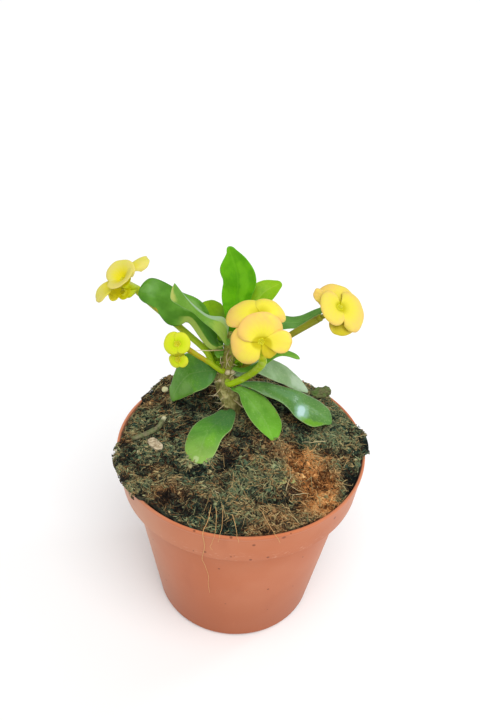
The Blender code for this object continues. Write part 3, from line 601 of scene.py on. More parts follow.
@dataclass(frozen=True)
class TerracottaPlastic:
    """The pot's moulded plastic: matt brick orange, browner at the foot as painted shade, dusty, with a few
    brown specks.
    """

    body: Colour = (186, 104, 64)
    dusty: Colour = (198, 128, 94)
    deep: Colour = (164, 84, 50)
    foot: Colour = (156, 82, 44)
    edge: Colour = (208, 116, 72)
    scuff: Colour = (214, 168, 142)
    veil: Colour = (206, 158, 130)
    speck: Colour = (112, 58, 36)
    marks: tuple[Four, ...] = (
        (-18.6, -57.0, 97.9, 0.55), (7.3, -58.9, 92.7, 0.7), (20.1, -56.3, 95.7, 0.9),
        (43.5, -40.3, 92.1, 0.75), (-2.3, -58.3, 83.7, 0.4), (6.4, -57.8, 81.7, 0.6),
        (14.0, -56.5, 82.4, 0.6), (-7.5, -50.6, 65.5, 0.5), (17.4, -41.1, 23.6, 0.4),
        (-2.7, -59.6, 98.0, 0.6), (31.6, -39.9, 63.8, 0.4), (-13.8, -56.8, 84.3, 0.6),
    )

    def material(self) -> Material:
        """The plastic: painted light on lip and sides, worn marks along the collar's foot, specks and a fine
        grain.

        Returns:
            The material.
        """
        shade = Shade("terracotta_plastic")
        cloud = shade.noise(46, 3)
        smear = shade.noise(5, 5, (1, 1, 3.5), 3.0).step(0.6, 0.8)
        worn = shade.noise(2.6, 4, (1, 1, 0.4), 11.0).step(0.58, 0.66) * shade.attribute("ledge")
        dirt = shade.specks(10.0, (0.05, 0.08), 0.5)
        fine = shade.specks(4.6, (0.06, 0.1), 0.8) * shade.attribute("collar").step(0.3, 0.5)
        for *spot, size in self.marks:
            dirt = dirt + (1 - shade.apart(tuple(spot)).step(0.6 * size, 1.5 * size))
        base = shade.coats(
            self.body,
            (cloud.step(0.35, 0.72) * 0.55, self.dusty),
            (shade.noise(15, 4, (1, 1, 2.5), 7.0).step(0.5, 0.8) * 0.35, self.deep),
            # Painted shade: the lower wall is painted darker towards the foot.
            (shade.attribute("low") * 0.75, self.foot),
            # Painted reflection: the sides seen at a slant are painted paler, the left more than the right.
            (shade.attribute("veil") * (cloud.step(0.2, 0.7) * 0.5 + 0.5), self.veil),
            (smear * 0.2, self.dusty),
            (worn * 0.35, self.scuff),
            # Painted light: the lip's top is painted brighter, more at the back.
            (shade.attribute("lip") * 0.5, self.edge),
            ((dirt + fine).clear() * 0.8, self.speck),
        )
        grain = shade.noise(0.7, 2) * 0.6 + shade.noise(9, 2, (1, 1, 4)) * 0.4
        return shade.finished(base, 0.46 + cloud * 0.14 + smear * 0.1, 0.15, Normal=shade.bump(grain, 0.06),
                              Sheen_Weight=0.08, Sheen_Roughness=0.5)


@dataclass(frozen=True)
class GroundFinish:
    """Moss, peat and coir in one blend, each from its deep shade to its lit strands."""

    name: str
    grained: bool = False
    moss: Ramp = ((0.0, (14, 20, 20)), (0.3, (52, 72, 58)), (0.6, (104, 124, 90)), (1.0, (178, 180, 132)))
    peat: Ramp = ((0.0, (24, 18, 14)), (0.3, (84, 60, 40)), (0.6, (150, 114, 74)), (1.0, (206, 176, 124)))
    coir: Ramp = ((0.0, (92, 52, 24)), (0.25, (164, 106, 54)), (0.6, (216, 150, 88)), (1.0, (230, 184, 120)))

    def material(self) -> Material:
        """The matt blend, by the fields tone, warm and orange at the piece's points.

        Returns:
            The material.
        """
        shade = Shade(self.name)
        tone, warm, orange = (shade.attribute(key) for key in ("tone", "warm", "orange"))
        if self.grained:
            grain = shade.noise(1.3, 5)
            tone = tone * (grain.step(0.3, 0.75) + 0.2)
            normal = shade.bump(grain, 0.6)
        else:
            tone = shade.uneven("tone", 1.1, 3)
            normal = shade.bump(shade.noise(0.35, 2), 0.08)
        moss, peat, coir = (shade.ramp(tone, *tones) for tones in (self.moss, self.peat, self.coir))
        return shade.finished(shade.coats(moss, (warm, peat), (orange, coir)), 0.9, 0.2, Normal=normal)


@dataclass(frozen=True)
class FibreFinish:
    """Loose dry fibres, each one in its own tone between the given ones."""

    name: str
    tones: Ramp

    def material(self) -> Material:
        """The fibres' matt finish, by each one's tone and a little noise."""
        shade = Shade(self.name)
        return shade.finished(shade.ramp(shade.uneven("tone", 2.0, 2), *self.tones), 0.85, 0.3)


@dataclass(frozen=True)
class BarkFinish:
    """Bark: khaki and fissured below, and olive green where the shoot is young."""

    old: Ramp = ((0.22, (88, 84, 42)), (0.48, (142, 136, 76)), (0.72, (190, 182, 124)))
    young: Ramp = ((0.3, (114, 108, 46)), (0.55, (150, 152, 66)), (0.75, (178, 182, 92)))

    def material(self) -> Material:
        """The bark, from the relief kept at its points.

        Returns:
            The material.
        """
        shade = Shade("bark")
        grain = shade.noise(0.9, 4, (1, 1, 2.2))
        old = shade.ramp(grain * 0.5 + shade.attribute("relief") * 0.5, *self.old)
        base = shade.mix(shade.attribute("young"), old, shade.ramp(grain, *self.young))
        return shade.finished(base, 0.8, 0.25, Normal=shade.bump(grain, 0.22))


@dataclass(frozen=True)
class ThornFinish:
    """Thorns: tan, darker at the root, with a pale dry tip."""

    tones: Ramp = ((0.0, (142, 122, 80)), (0.35, (192, 170, 124)), (1.0, (234, 224, 188)))

    def material(self) -> Material:
        """The thorns' horny finish, by the place along each."""
        shade = Shade("thorn")
        return shade.finished(shade.ramp(shade.attribute("along"), *self.tones), 0.5, 0.3)


@dataclass(frozen=True)
class LeafFinish:
    """One leaf's colours; leaves of one plant differ with their age and the light they get.

    A turned half is a part of the blade painted in a paler face colour, partly the underside's own tint and
    partly painted light on a band that faces another way: on its side of the rib, from turned_from out to the
    margin, and up to turned_end along the leaf. A patch is a soft oval in another colour: its colour, its
    place along and across, its half sizes and its share; some patches are painted highlights and some painted
    shade.
    """

    blade: Colour
    mottle: Colour
    tip: Colour
    margin: Colour
    tip_share: float = 0.3
    gloss: float = 0.1
    rib_share: float = 0.14
    turned: Colour = (0, 0, 0)
    turned_side: float = 0.0
    turned_from: float = 0.0
    turned_end: float = 1.0
    under: Colour = (150, 176, 112)
    dry: Colour = (158, 116, 48)
    flecks: float = 0.12
    patches: tuple[tuple[Colour, float, float, float, float, float], ...] = ()

    def material(self, name: str) -> Material:
        """The leaf: a waxy blade, a thin pale rib, faint side veins, a thin pale margin and a dull underside.

        Args:
            name: The material's name.

        Returns:
            The material.
        """
        shade = Shade(name)
        along, across, vein = (shade.attribute(key) for key in ("along", "across", "vein"))
        coats = [(shade.noise(8, 3).step(0.36, 0.66), self.mottle),
                 (along.step(0.5, 1.0) * self.tip_share, self.tip)]
        # Partly painted light: the turned half takes a paler colour, for the underside's tint and for the
        # light on a band that faces another way.
        if self.turned_side:
            facing = (across * self.turned_side).step(self.turned_from, self.turned_from + 0.1)
            facing = facing * (1 - along.step(self.turned_end, self.turned_end + 0.12))
            coats.append((facing * 0.9, self.turned))
        # Some patches are painted highlights and some painted shade, as the finishes below say.
        for colour, place, side, length, width, share in self.patches:
            apart = ((along - place) * (1 / length)) ** 2 + ((across - side) * (1 / width)) ** 2
            oval = 1 - (apart + (shade.noise(3.0, 3, shift=2.0) - 0.5) * 1.2).step(0.2, 1.1)
            coats.append((oval * share, colour))
        rib = 1 - (abs(across) * (1.25 - along)).step(0.008, 0.045)
        spots = shade.noise(2.4, 2, shift=17.0).step(0.66, 0.7) * abs(across).step(0.86, 0.96)
        coats += [
            (shade.noise(0.8, 3, shift=5.0).step(0.56, 0.7) * self.flecks, self.margin),
            (vein * 0.05, self.margin),
            (rib * self.rib_share, self.margin),
            (abs(across).step(0.94, 0.99) * 0.5, self.margin),
            (spots * 0.8, self.dry),
        ]
        base = shade.coats(self.blade, *coats)
        base = shade.mix(shade.attribute("upper").step(0.4, 0.6), shade.mix(0.45, base, self.under), base)
        rough = 0.4 + shade.noise(3.0, 3).step(0.3, 0.7) * 0.16
        grain = shade.noise(0.9, 3) * 0.4 + shade.noise(4.0, 2) * 0.6
        return shade.finished(base, rough, 0.1, Normal=shade.bump(grain, 0.14), Coat_Weight=self.gloss,
                              Coat_Roughness=0.2, Subsurface_Weight=0.08, Subsurface_Scale=1.0 * MM,
                              Subsurface_Radius=(0.5, 1.0, 0.15))


@dataclass(frozen=True)
class StalkFinish:
    """A bloom stalk's skin, from its foot's colour to its top's, with a flush in patches."""

    foot: Colour
    top: Colour
    flush: Colour

    def material(self, name: str) -> Material:
        """The smooth skin.

        Args:
            name: The material's name.

        Returns:
            The material.
        """
        shade = Shade(name)
        base = shade.coats(self.foot, (shade.attribute("along").step(0.1, 0.9), self.top),
                           (shade.noise(3.2, 3).step(0.45, 0.72) * 0.5, self.flush))
        return shade.finished(base, 0.45, 0.25, Normal=shade.bump(shade.noise(0.7, 2), 0.05),
                              Coat_Weight=0.08, Coat_Roughness=0.3)


@dataclass(frozen=True)
class BractFinish:
    """Petal-like bracts: a deep throat, partly painted shade, a clear yellow middle and a flushed margin."""

    throat: Colour
    middle: Colour
    outer: Colour
    flush: Colour
    flush_share: float = 0.8

    def material(self, name: str) -> Material:
        """The bract's matt velvet, with fine rays and a flush that is stronger in patches of its margin.

        Args:
            name: The material's name.

        Returns:
            The material.
        """
        shade = Shade(name)
        reach, ray, rim, glow = (shade.attribute(key) for key in ("reach", "ray", "rim", "glow"))
        patches = (shade.noise(6, 3).step(0.35, 0.65) + glow).clear()
        base = shade.coats(
            # The throat end is darker: partly the bracts' own deeper base, partly painted shade in the
            # recess.
            shade.ramp(reach, (0.0, self.throat), (0.3, self.middle), (0.75, self.outer)),
            (ray * 0.12, self.flush),
            (rim.step(0.35, 1.0) * patches * self.flush_share, self.flush),
            (rim.step(0.9, 1.0) * self.flush_share * 0.6, self.flush),
            # Painted shade in the cups' throats, and the bracts' own deeper yellow, at the deep spots.
            (shade.attribute("deep").step(0.3, 0.7) * 0.8, self.throat),
        )
        return shade.finished(base, 0.6, 0.15, Normal=shade.bump(shade.noise(1.2, 3), 0.08),
                              Subsurface_Weight=0.15, Subsurface_Radius=(1.0, 0.8, 0.2),
                              Subsurface_Scale=1.2 * MM)


@dataclass(frozen=True)
class CupFinish:
    """The flower cups: yellow-green glands round a deeper mouth."""

    gland: Colour = (210, 206, 14)
    mouth: Colour = (190, 184, 4)

    def material(self, name: str) -> Material:
        """The glands' moist finish.

        Args:
            name: The material's name.

        Returns:
            The material.
        """
        shade = Shade(name)
        base = shade.mix(shade.attribute("along").step(0.3, 0.9), self.gland, self.mouth)
        return shade.finished(base, 0.4, 0.25, Coat_Weight=0.15)


@dataclass(frozen=True)
class ScrapFinish:
    """Loose scraps on the soil: bark, a dry twig or a seed, with grain along them."""

    name: str
    dark: Colour
    light: Colour
    green: float = 0.0
    moss: Colour = (84, 114, 52)
    tip: Colour | None = None

    def material(self) -> Material:
        """The scrap's dry finish, with moss on part of it.

        Returns:
            The material.
        """
        shade = Shade("scrap_" + self.name)
        grain = shade.noise(0.5, 3, (4, 1, 1)) * 0.6 + shade.noise(1.6, 4) * 0.4
        coats = [(shade.noise(3.0, 3, shift=9.0).step(0.4, 0.6) * self.green, self.moss)]
        if self.tip:
            coats.append((shade.attribute("along").step(0.86, 0.96), self.tip))
        base = shade.coats(shade.ramp(grain, (0.34, self.dark), (0.6, self.light)), *coats)
        return shade.finished(base, 0.85, 0.3, Normal=shade.bump(grain, 0.35))


@dataclass(frozen=True)
class Pot:
    """The nursery pot: one thin shell with a rolled lip, a collar, a rounded foot on feet and drain holes."""

    segments: int = 240
    longest_side: float = 6.0
    lip: float = 0.5
    foot_pad_radius: float = 10.0
    foot_ring: float = 6.0
    recess: float = 1.7
    feet: int = 8
    foot_bearing: float = -103.0
    notch: float = 1.2
    drain_count: int = 8
    drain_radius: float = 3.5
    drain_circle: float = 25.0

    def profile(self) -> Floats:
        """The wall's section, from the middle of the underside round the lip to the middle of the floor.

        Returns:
            Rows of radius and height, with every corner rounded and long sides divided.
        """
        corners = np.array([
            (0.0, 0.0), (self.foot_pad_radius, 0.0), (self.foot_pad_radius + self.recess, self.recess),
            (BASE_RADIUS - self.foot_ring - self.recess, self.recess), (BASE_RADIUS - self.foot_ring, 0.0),
            (BASE_RADIUS - 0.2, 0.0), (BODY_TOP_RADIUS, LEDGE - 0.1), (COLLAR_FOOT_RADIUS, LEDGE),
            (RIM_RADIUS - 0.35, POT_HEIGHT - 2.2), (RIM_RADIUS, POT_HEIGHT - 1.7), (RIM_RADIUS, POT_HEIGHT),
            (RIM_RADIUS - WALL, POT_HEIGHT), (COLLAR_FOOT_RADIUS - WALL, LEDGE + WALL),
            (BODY_TOP_RADIUS - WALL, LEDGE + WALL), (BASE_RADIUS - WALL, FLOOR), (0.0, FLOOR),
        ])
        found = rounded(corners, self.lip)
        foot = np.argmin(np.abs(found - (BASE_RADIUS - 0.2, 0.0)).sum(axis=1))
        ease_in = np.linspace(0, math.pi / 2, 9)
        arc = BASE_CORNER * (1 - np.stack([np.sin(ease_in), np.cos(ease_in)], axis=1))
        arc[:, 0] = BASE_RADIUS - arc[:, 0]
        found = np.vstack([found[:foot - 2], arc, found[foot + 3:]])
        rows = [found[:1]]
        for start, end in zip(found[:-1], found[1:]):
            pieces = max(1, int(np.linalg.norm(end - start) / self.longest_side))
            rows.append(start + (end - start) * (np.arange(1, pieces + 1) / pieces)[:, None])
        return np.vstack(rows)

    def surface(self) -> Surface:
        """The turned shell; the foot ring is lifted between its feet, and the wall is slightly out of round.

        Returns:
            The shell, with fields for its lip, its collar, its low part and the collar's foot line.
        """
        shell = turned(self.profile(), self.segments)
        x, y, z = shell.points.T
        radius, bearing = np.hypot(x, y), np.degrees(np.arctan2(y, x))
        turn = ((bearing - self.foot_bearing) * self.feet / 360 + 0.5) % 1 - 0.5
        lifted = ease(np.abs(turn), 0.22, 0.28) * self.notch
        on_ring = radius > BASE_RADIUS - self.foot_ring - self.recess
        shell.points[:, 2] = np.where(on_ring & (z < self.notch), np.maximum(z, lifted), z)
        sway = 0.12 * np.sin(np.radians(2 * bearing + 40)) + 0.08 * np.sin(np.radians(5 * bearing))
        shell.points[:, :2] *= (1 + sway * ease(z, 30, POT_HEIGHT) / RIM_RADIUS)[:, None]
        shell.fields = {
            # Painted light: the lip's top, painted brighter, more at the back.
            "lip": ease(z, POT_HEIGHT - 1.3, POT_HEIGHT - 0.4) * (0.45 + 0.55 * ease(y, -35, 15)),
            "collar": ease(z, POT_HEIGHT - 30, POT_HEIGHT),
            # Painted shade: the share of the darker foot colour, highest at the underside.
            "low": 1 - ease(z, 0, 62),
            # Painted reflection: the sides seen at a slant, painted paler.
            "veil": 0.85 * ease(-x, 22, 56) + 0.35 * ease(x, 30, 58),
            "ledge": bell(z - POT_HEIGHT + COLLAR_HEIGHT, 1.3),
        }
        return shell

    def build(self) -> None:
        """Makes the pot, with its drain holes cut."""
        pot = self.surface().object("pot_shell")
        turn = round_angles(self.drain_count)
        spots = round_places(turn, self.drain_circle, 0 * turn)
        paths = spots[:, None] + np.array([[0, 0, -2.0], [0, 0, 2.0], [0, 0, 6.0]])
        drill = tubes(paths, np.full((self.drain_count, 3), self.drain_radius), 28).object("drill")
        cut = pot.modifiers.new("drainage", "BOOLEAN")
        cut.operation = "DIFFERENCE"
        cut.object = drill
        bored = bpy.data.meshes.new_from_object(pot.evaluated_get(bpy.context.evaluated_depsgraph_get()))
        pot.modifiers.clear()
        pot.data = bored
        bpy.data.objects.remove(drill, do_unlink=True)
        pot.data.set_sharp_from_angle(angle=math.radians(50))
        place(pot, TerracottaPlastic().material(), "pot_plastic", "pot")


@dataclass(frozen=True)
class WoodyStem:
    """The stem: a stout thorny foot that narrows to a slim green shoot."""

    stations: tuple[Four, ...] = (
        (-5.0, 16.0, 84.0, 4.0), (-5.0, 16.0, 100.0, 4.0), (-5.1, 16.0, 105.0, 4.2),
        (-5.9, 15.6, 111.5, 4.8), (-7.9, 15.2, 118.0, 5.0), (-9.6, 15.0, 123.0, 4.5),
        (-9.7, 15.0, 127.5, 4.0), (-9.0, 15.0, 132.0, 3.3), (-8.5, 15.0, 135.0, 2.8),
        (-8.0, 15.5, 142.0, 2.4), (-7.8, 16.0, 149.0, 2.0), (-7.7, 16.1, 151.5, 0.9),
    )
    ridge: float = 0.05
    green_heights: Pair = (126.0, 133.0)
    thorn_count: int = 58
    thorn_foot: float = 106.5
    thorn_span: float = 42.0
    thorn_lengths: Pair = (3.6, 6.4)
    thorn_tilts: Pair = (-0.25, 0.45)
    thorn_short_above: float = 131.0
    thorn_short_share: float = 0.7
    thorn_seed: int = 5
    thorn_radius: float = 0.4
    golden_angle: float = 137.5
    prickles: int = 90
    prickle_span: Pair = (104.0, 150.0)
    prickle_rises: Pair = (-0.4, 0.7)
    prickle_lengths: Pair = (0.9, 1.9)
    prickle_radius: float = 0.2
    needle_radius: float = 0.34
    knobs: tuple[Triple, ...] = ((-74.0, 131.0, 1.35), (-24.0, 130.2, 1.25), (-120.0, 126.0, 0.9))
    needles: tuple[tuple[Triple, ...], ...] = (
        ((-10.8, 12.5, 143.8), (-17.5, 8.0, 146.3), (-23.7, 5.0, 148.4)),
        ((-8.0, 12.3, 144.1), (-9.0, 11.2, 140.2), (-7.4, 11.4, 134.9)),
        ((-6.9, 12.3, 140.7), (-8.5, 11.0, 138.7), (-9.1, 11.6, 134.1)),
        ((-10.8, 13.0, 134.1), (-11.7, 11.6, 138.0), (-11.6, 11.2, 141.2)),
        ((-9.5, 13.0, 130.6), (-13.3, 11.6, 135.0), (-15.6, 11.2, 135.2)),
        ((-7.9, 11.6, 126.4), (-6.5, 10.4, 130.4), (-4.2, 10.0, 132.7)),
    )
    steps: int = 190
    sides: int = 72

    def axis(self, height: Floats) -> tuple[Floats, Floats]:
        """The stem's middle and radius at heights, on straight lines between its stations.

        Args:
            height: The heights.

        Returns:
            A point and a radius for each.
        """
        table = np.array(self.stations)
        height = np.asarray(height, float)
        x, y, radius = (np.interp(height, table[:, 2], table[:, column]) for column in (0, 1, 3))
        return np.stack([x, y, height], axis=-1), radius

    def seat(self, azimuth: float, height: float, reach: float) -> Floats:
        """The first two points of a leaf or stalk: just off the bark, and a little further out.

        Args:
            azimuth: The bearing at which it leaves the stem.
            height: The height at which it leaves it.
            reach: How far out the second point is.

        Returns:
            The two points.
        """
        centre, radius = self.axis(np.array(height))
        outward = outward_way(azimuth)
        start = centre + outward * (float(radius) * (1 + self.ridge) + 2.4 * SEAT_GAP)
        return np.array([start, start + outward * reach + np.array([0.0, 0.0, 0.1 * reach])])

    def thorn_roots(self) -> list[tuple[Floats, Floats, float]]:
        """The thorns' places by the golden angle, wherever the solid stem has a thorn's point.

        Returns:
            For each thorn its root, the unit direction of its aim and its length.
        """
        draw = random.Random(self.thorn_seed)
        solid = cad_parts["stem"].data
        faces = [tuple(face.vertices) for face in solid.polygons]
        bark = BVHTree.FromPolygons([v.co / MM for v in solid.vertices], faces)
        found = []
        for number in range(self.thorn_count):
            height = self.thorn_foot + self.thorn_span * (number + 0.5) / self.thorn_count
            outward = outward_way(self.golden_angle * number + draw.uniform(-14, 14))
            length = draw.uniform(*self.thorn_lengths)
            length *= 1 if height < self.thorn_short_above else self.thorn_short_share
            aim = unit(outward + np.array([0.0, 0.0, draw.uniform(*self.thorn_tilts)]))
            centre, radius = self.axis(np.array(height))
            root = centre + outward * float(radius)
            if bark.find_nearest(list(root + aim * length))[3] < SEAT_GAP:
                found.append((root, aim, length))
        return found

    @staticmethod
    def thorn_path(root: Floats, aim: Floats, length: float) -> Floats:
        """A thorn's seven middle points: out along its aim, and raised by the square of its share."""
        share = np.linspace(-0.25, 1, 7)[:, None]
        return root + aim * length * share + np.array([0.0, 0.0, 0.04 * length]) * share**2

    def trunk(self) -> Surface:
        """The bark: radius * (1 + ridge * sin(3 a + h)) + fissures along it + a cushion at each thorn's root.

        Returns:
            The closed trunk, with fields for its relief and for how young it is.
        """
        foot, top = self.stations[0][2], self.stations[-1][2]
        height = np.linspace(foot, top, self.steps)
        centre, radius = self.axis(height)
        blunt = np.hanning(9) / np.hanning(9).sum()
        radius[4:-4] = np.convolve(radius, blunt, "valid")
        angle = round_angles(self.sides)
        wide, up = radius[:, None], height[:, None]
        lobes = self.ridge * np.sin(3 * angle + 0.29 * (up - foot)) * (up > self.stations[1][2] + 4)
        spot = round_places(angle, wide, 0.35 * up)
        age = 1 - ease(up, *self.green_heights)
        relief = 0.34 * rolling(spot, 1.5, 3, 3) + 0.16 * rolling(spot * [1, 1, 3], 1.1, 8, 2)
        relief = relief * (0.25 + 0.75 * age)
        for root, outward, _ in self.thorn_roots():
            apart = 1 - np.cos(angle - math.atan2(outward[1], outward[0]))
            relief = relief + 0.5 * np.exp(-(apart * wide**2 / 0.8) - ((up - root[2]) / 0.9) ** 2)
        young = {"young": 1 - age[None, :, 0]}
        body = tubes(centre[None], radius[None], self.sides, 0.0, young, (lobes * wide + relief)[None])
        ringed = np.clip(0.5 + 0.9 * relief, 0, 1).ravel()
        body.fields["relief"] = np.concatenate([ringed, ringed[:1], ringed[-1:]])
        return body

    def thorns(self) -> Surface:
        """The thorns, swollen near their roots, short prickles between them, and long needles at the top.

        Returns:
            All of them as one surface, their roots inside the bark.
        """
        share = np.linspace(0, 1, 7)
        swollen = (1.02 - share) ** 0.8 * (1 + 0.9 * np.exp(-9 * np.abs(share - 0.2)))
        paths = np.array([self.thorn_path(*root) for root in self.thorn_roots()])
        draw = np.random.default_rng(self.thorn_seed)
        count = self.prickles
        centre, radius = self.axis(draw.uniform(*self.prickle_span, count))
        angle = draw.uniform(0, 2 * math.pi, count)
        way = unit(round_places(angle, 1, draw.uniform(*self.prickle_rises, count)))
        length = draw.uniform(*self.prickle_lengths, count)[:, None, None]
        inset = np.linspace(-0.2, 1, 5)[:, None]
        short = (centre + way * radius[:, None])[:, None] + way[:, None] * length * inset
        fine = np.linspace(0, 1, 12)
        long = np.array([smooth_path(np.array(route), fine) for route in self.needles])
        kinds = ((paths, 0.72 * self.thorn_radius * swollen, 7),
                 (short, self.prickle_radius * (1.03 - np.linspace(0, 1, 5)), 5),
                 (long, self.needle_radius * (1.03 - fine) ** 0.5, 7))
        return Surface.joined([tubes(middle, np.broadcast_to(radii, middle.shape[:2]), sides, 1.0)
                               for middle, radii, sides in kinds])

    def scars(self) -> Surface:
        """The knobs where leaves fell: size * sqrt(1.04 - share^2) round a line that leaves the bark.

        Returns:
            The knobs.
        """
        share = np.linspace(-0.4, 1.0, 8)
        found = []
        for bearing, height, size in self.knobs:
            centre, radius = self.axis(np.array(height))
            path = centre + outward_way(bearing, 0.15) * (float(radius) + size * share[:, None])
            round_end = size * np.sqrt(1.04 - np.clip(share, 0, 1) ** 2)
            found.append(tubes(path[None], round_end[None], 16, 0.3))
        return Surface.joined(found)

    def build(self) -> None:
        """Makes the trunk, its thorns and its pale scar knobs."""
        place(self.trunk().object("stem_trunk"), BarkFinish().material(), "bark", "stem")
        place(self.thorns().object("stem_thorns"), ThornFinish().material(), "bark")
        finish = ScrapFinish("scar", (172, 150, 110), (228, 216, 178))
        place(self.scars().object("stem_scars"), finish.material(), "bark")


@dataclass(frozen=True)
class Leaf:
    """One leaf: where it leaves the stem, the course of its rib, the form of its blade and its finish."""

    name: str
    azimuth: float
    height: float
    course: tuple[Triple, ...]
    left: tuple[float, ...]
    right: tuple[float, ...]
    bluntness: float
    face: Triple
    tip_face: Triple
    fold: float
    wave: float
    finish: LeafFinish
    solid: bool = True
    steps: int = 66
    strips: int = 24
    petiole_reach: float = 2.4
    petiole_half_width: float = 1.0
    width_stations: tuple[float, ...] = (0.1, 0.28, 0.46, 0.64, 0.82, 0.95)
    margin_thickness: float = 0.34
    rib_thickness: float = 0.8
    petiole_thickness: float = 1.5
    vein_pairs: float = 11.0

    def half_width(self, side: tuple[float, ...], share: Floats) -> Floats:
        """One side's half-width: a curve through its stations, times sqrt(1 - share^bluntness), plus 0.15.

        Args:
            side: The half-widths at the stations.
            share: Places along the rib, from 0 to 1.

        Returns:
            The half-width at each place.
        """
        knots = np.array([(0.0, self.petiole_half_width), *zip(self.width_stations, side), (1.0, side[-1])])
        curve = smooth_path(knots, np.linspace(0, 1, 90))
        return np.interp(share, curve[:, 0], curve[:, 1]) * np.sqrt(1 - share**self.bluntness) + 0.15

    def surface(self, stem: WoodyStem) -> Surface:
        """The blade as a grid over u along the rib and v across it, from -1 to 1.

        Lift: fold * half-width * |v|^1.6 + wave * swell * v^2 * sin(2.6 pi u +- 1.9), with the swell as the
        half-width over its most. Side veins lie where u * pairs - 1.9 |v| is whole, and are sunk a little.

        Args:
            stem: The stem that it grows from.

        Returns:
            The closed blade, with fields for its finish.
        """
        share = np.sin(0.5 * math.pi * np.linspace(0, 1, self.steps + 1))
        seat = stem.seat(self.azimuth, self.height, self.petiole_reach)
        path = smooth_path(np.vstack([seat, self.course]), share)
        along = tangents_of(path)
        u, v = share[:, None], np.linspace(-1, 1, self.strips + 1)[None]
        out = np.abs(v)
        face = (1 - u) * unit(self.face) + u * unit(self.tip_face)
        normal = unit(face - along * np.sum(face * along, axis=1, keepdims=True))
        across = np.cross(along, normal)
        half = np.where(v < 0, *(self.half_width(side, share)[:, None] for side in (self.left, self.right)))
        swell = np.clip(half / max(*self.left, *self.right), 0, 1)
        ripple = self.wave * swell * v**2 * np.sin(2.6 * math.pi * u + 1.9 * np.sign(v))
        phase = u * self.vein_pairs - 1.9 * out * ease(u, 0, 0.3) + 0.35 * np.sign(v)
        vein = bell((phase + 0.5) % 1 - 0.5, 0.09) * (1 - out**3) * ease(u, 0.06, 0.2)
        rib = bell(v * half, 0.55) * (1 - 0.6 * u)
        lift = self.fold * half * out**1.6 + ripple - 0.07 * vein - 0.24 * rib
        spot = path[:, None] + across[:, None] * (half * v)[..., None]
        lift = lift + 0.16 * rolling(spot, 5.0, 21, 2) * out * ease(u, 0.1, 0.4)
        thick = self.rib_thickness + (self.petiole_thickness - self.rib_thickness) * (1 - u) ** 4
        thick = self.margin_thickness + (thick - self.margin_thickness) * (1 - out**1.3)
        thick = thick * np.sqrt(np.clip(1 - out**14, 0.03, 1)) * np.sqrt(np.clip(1 - u**30, 0.05, 1))
        fields = {"along": u + 0 * v, "across": v + 0 * u, "vein": vein}
        return blade(spot + normal[:, None] * lift[..., None], np.broadcast_to(normal[:, None], spot.shape),
                     thick, fields)

    def build(self, stem: WoodyStem) -> None:
        """Makes the leaf on the stem that it grows from."""
        piece = self.surface(stem).object(self.name + "_blade")
        place(piece, self.finish.material(self.name), "leaf_green", *([self.name] if self.solid else []))


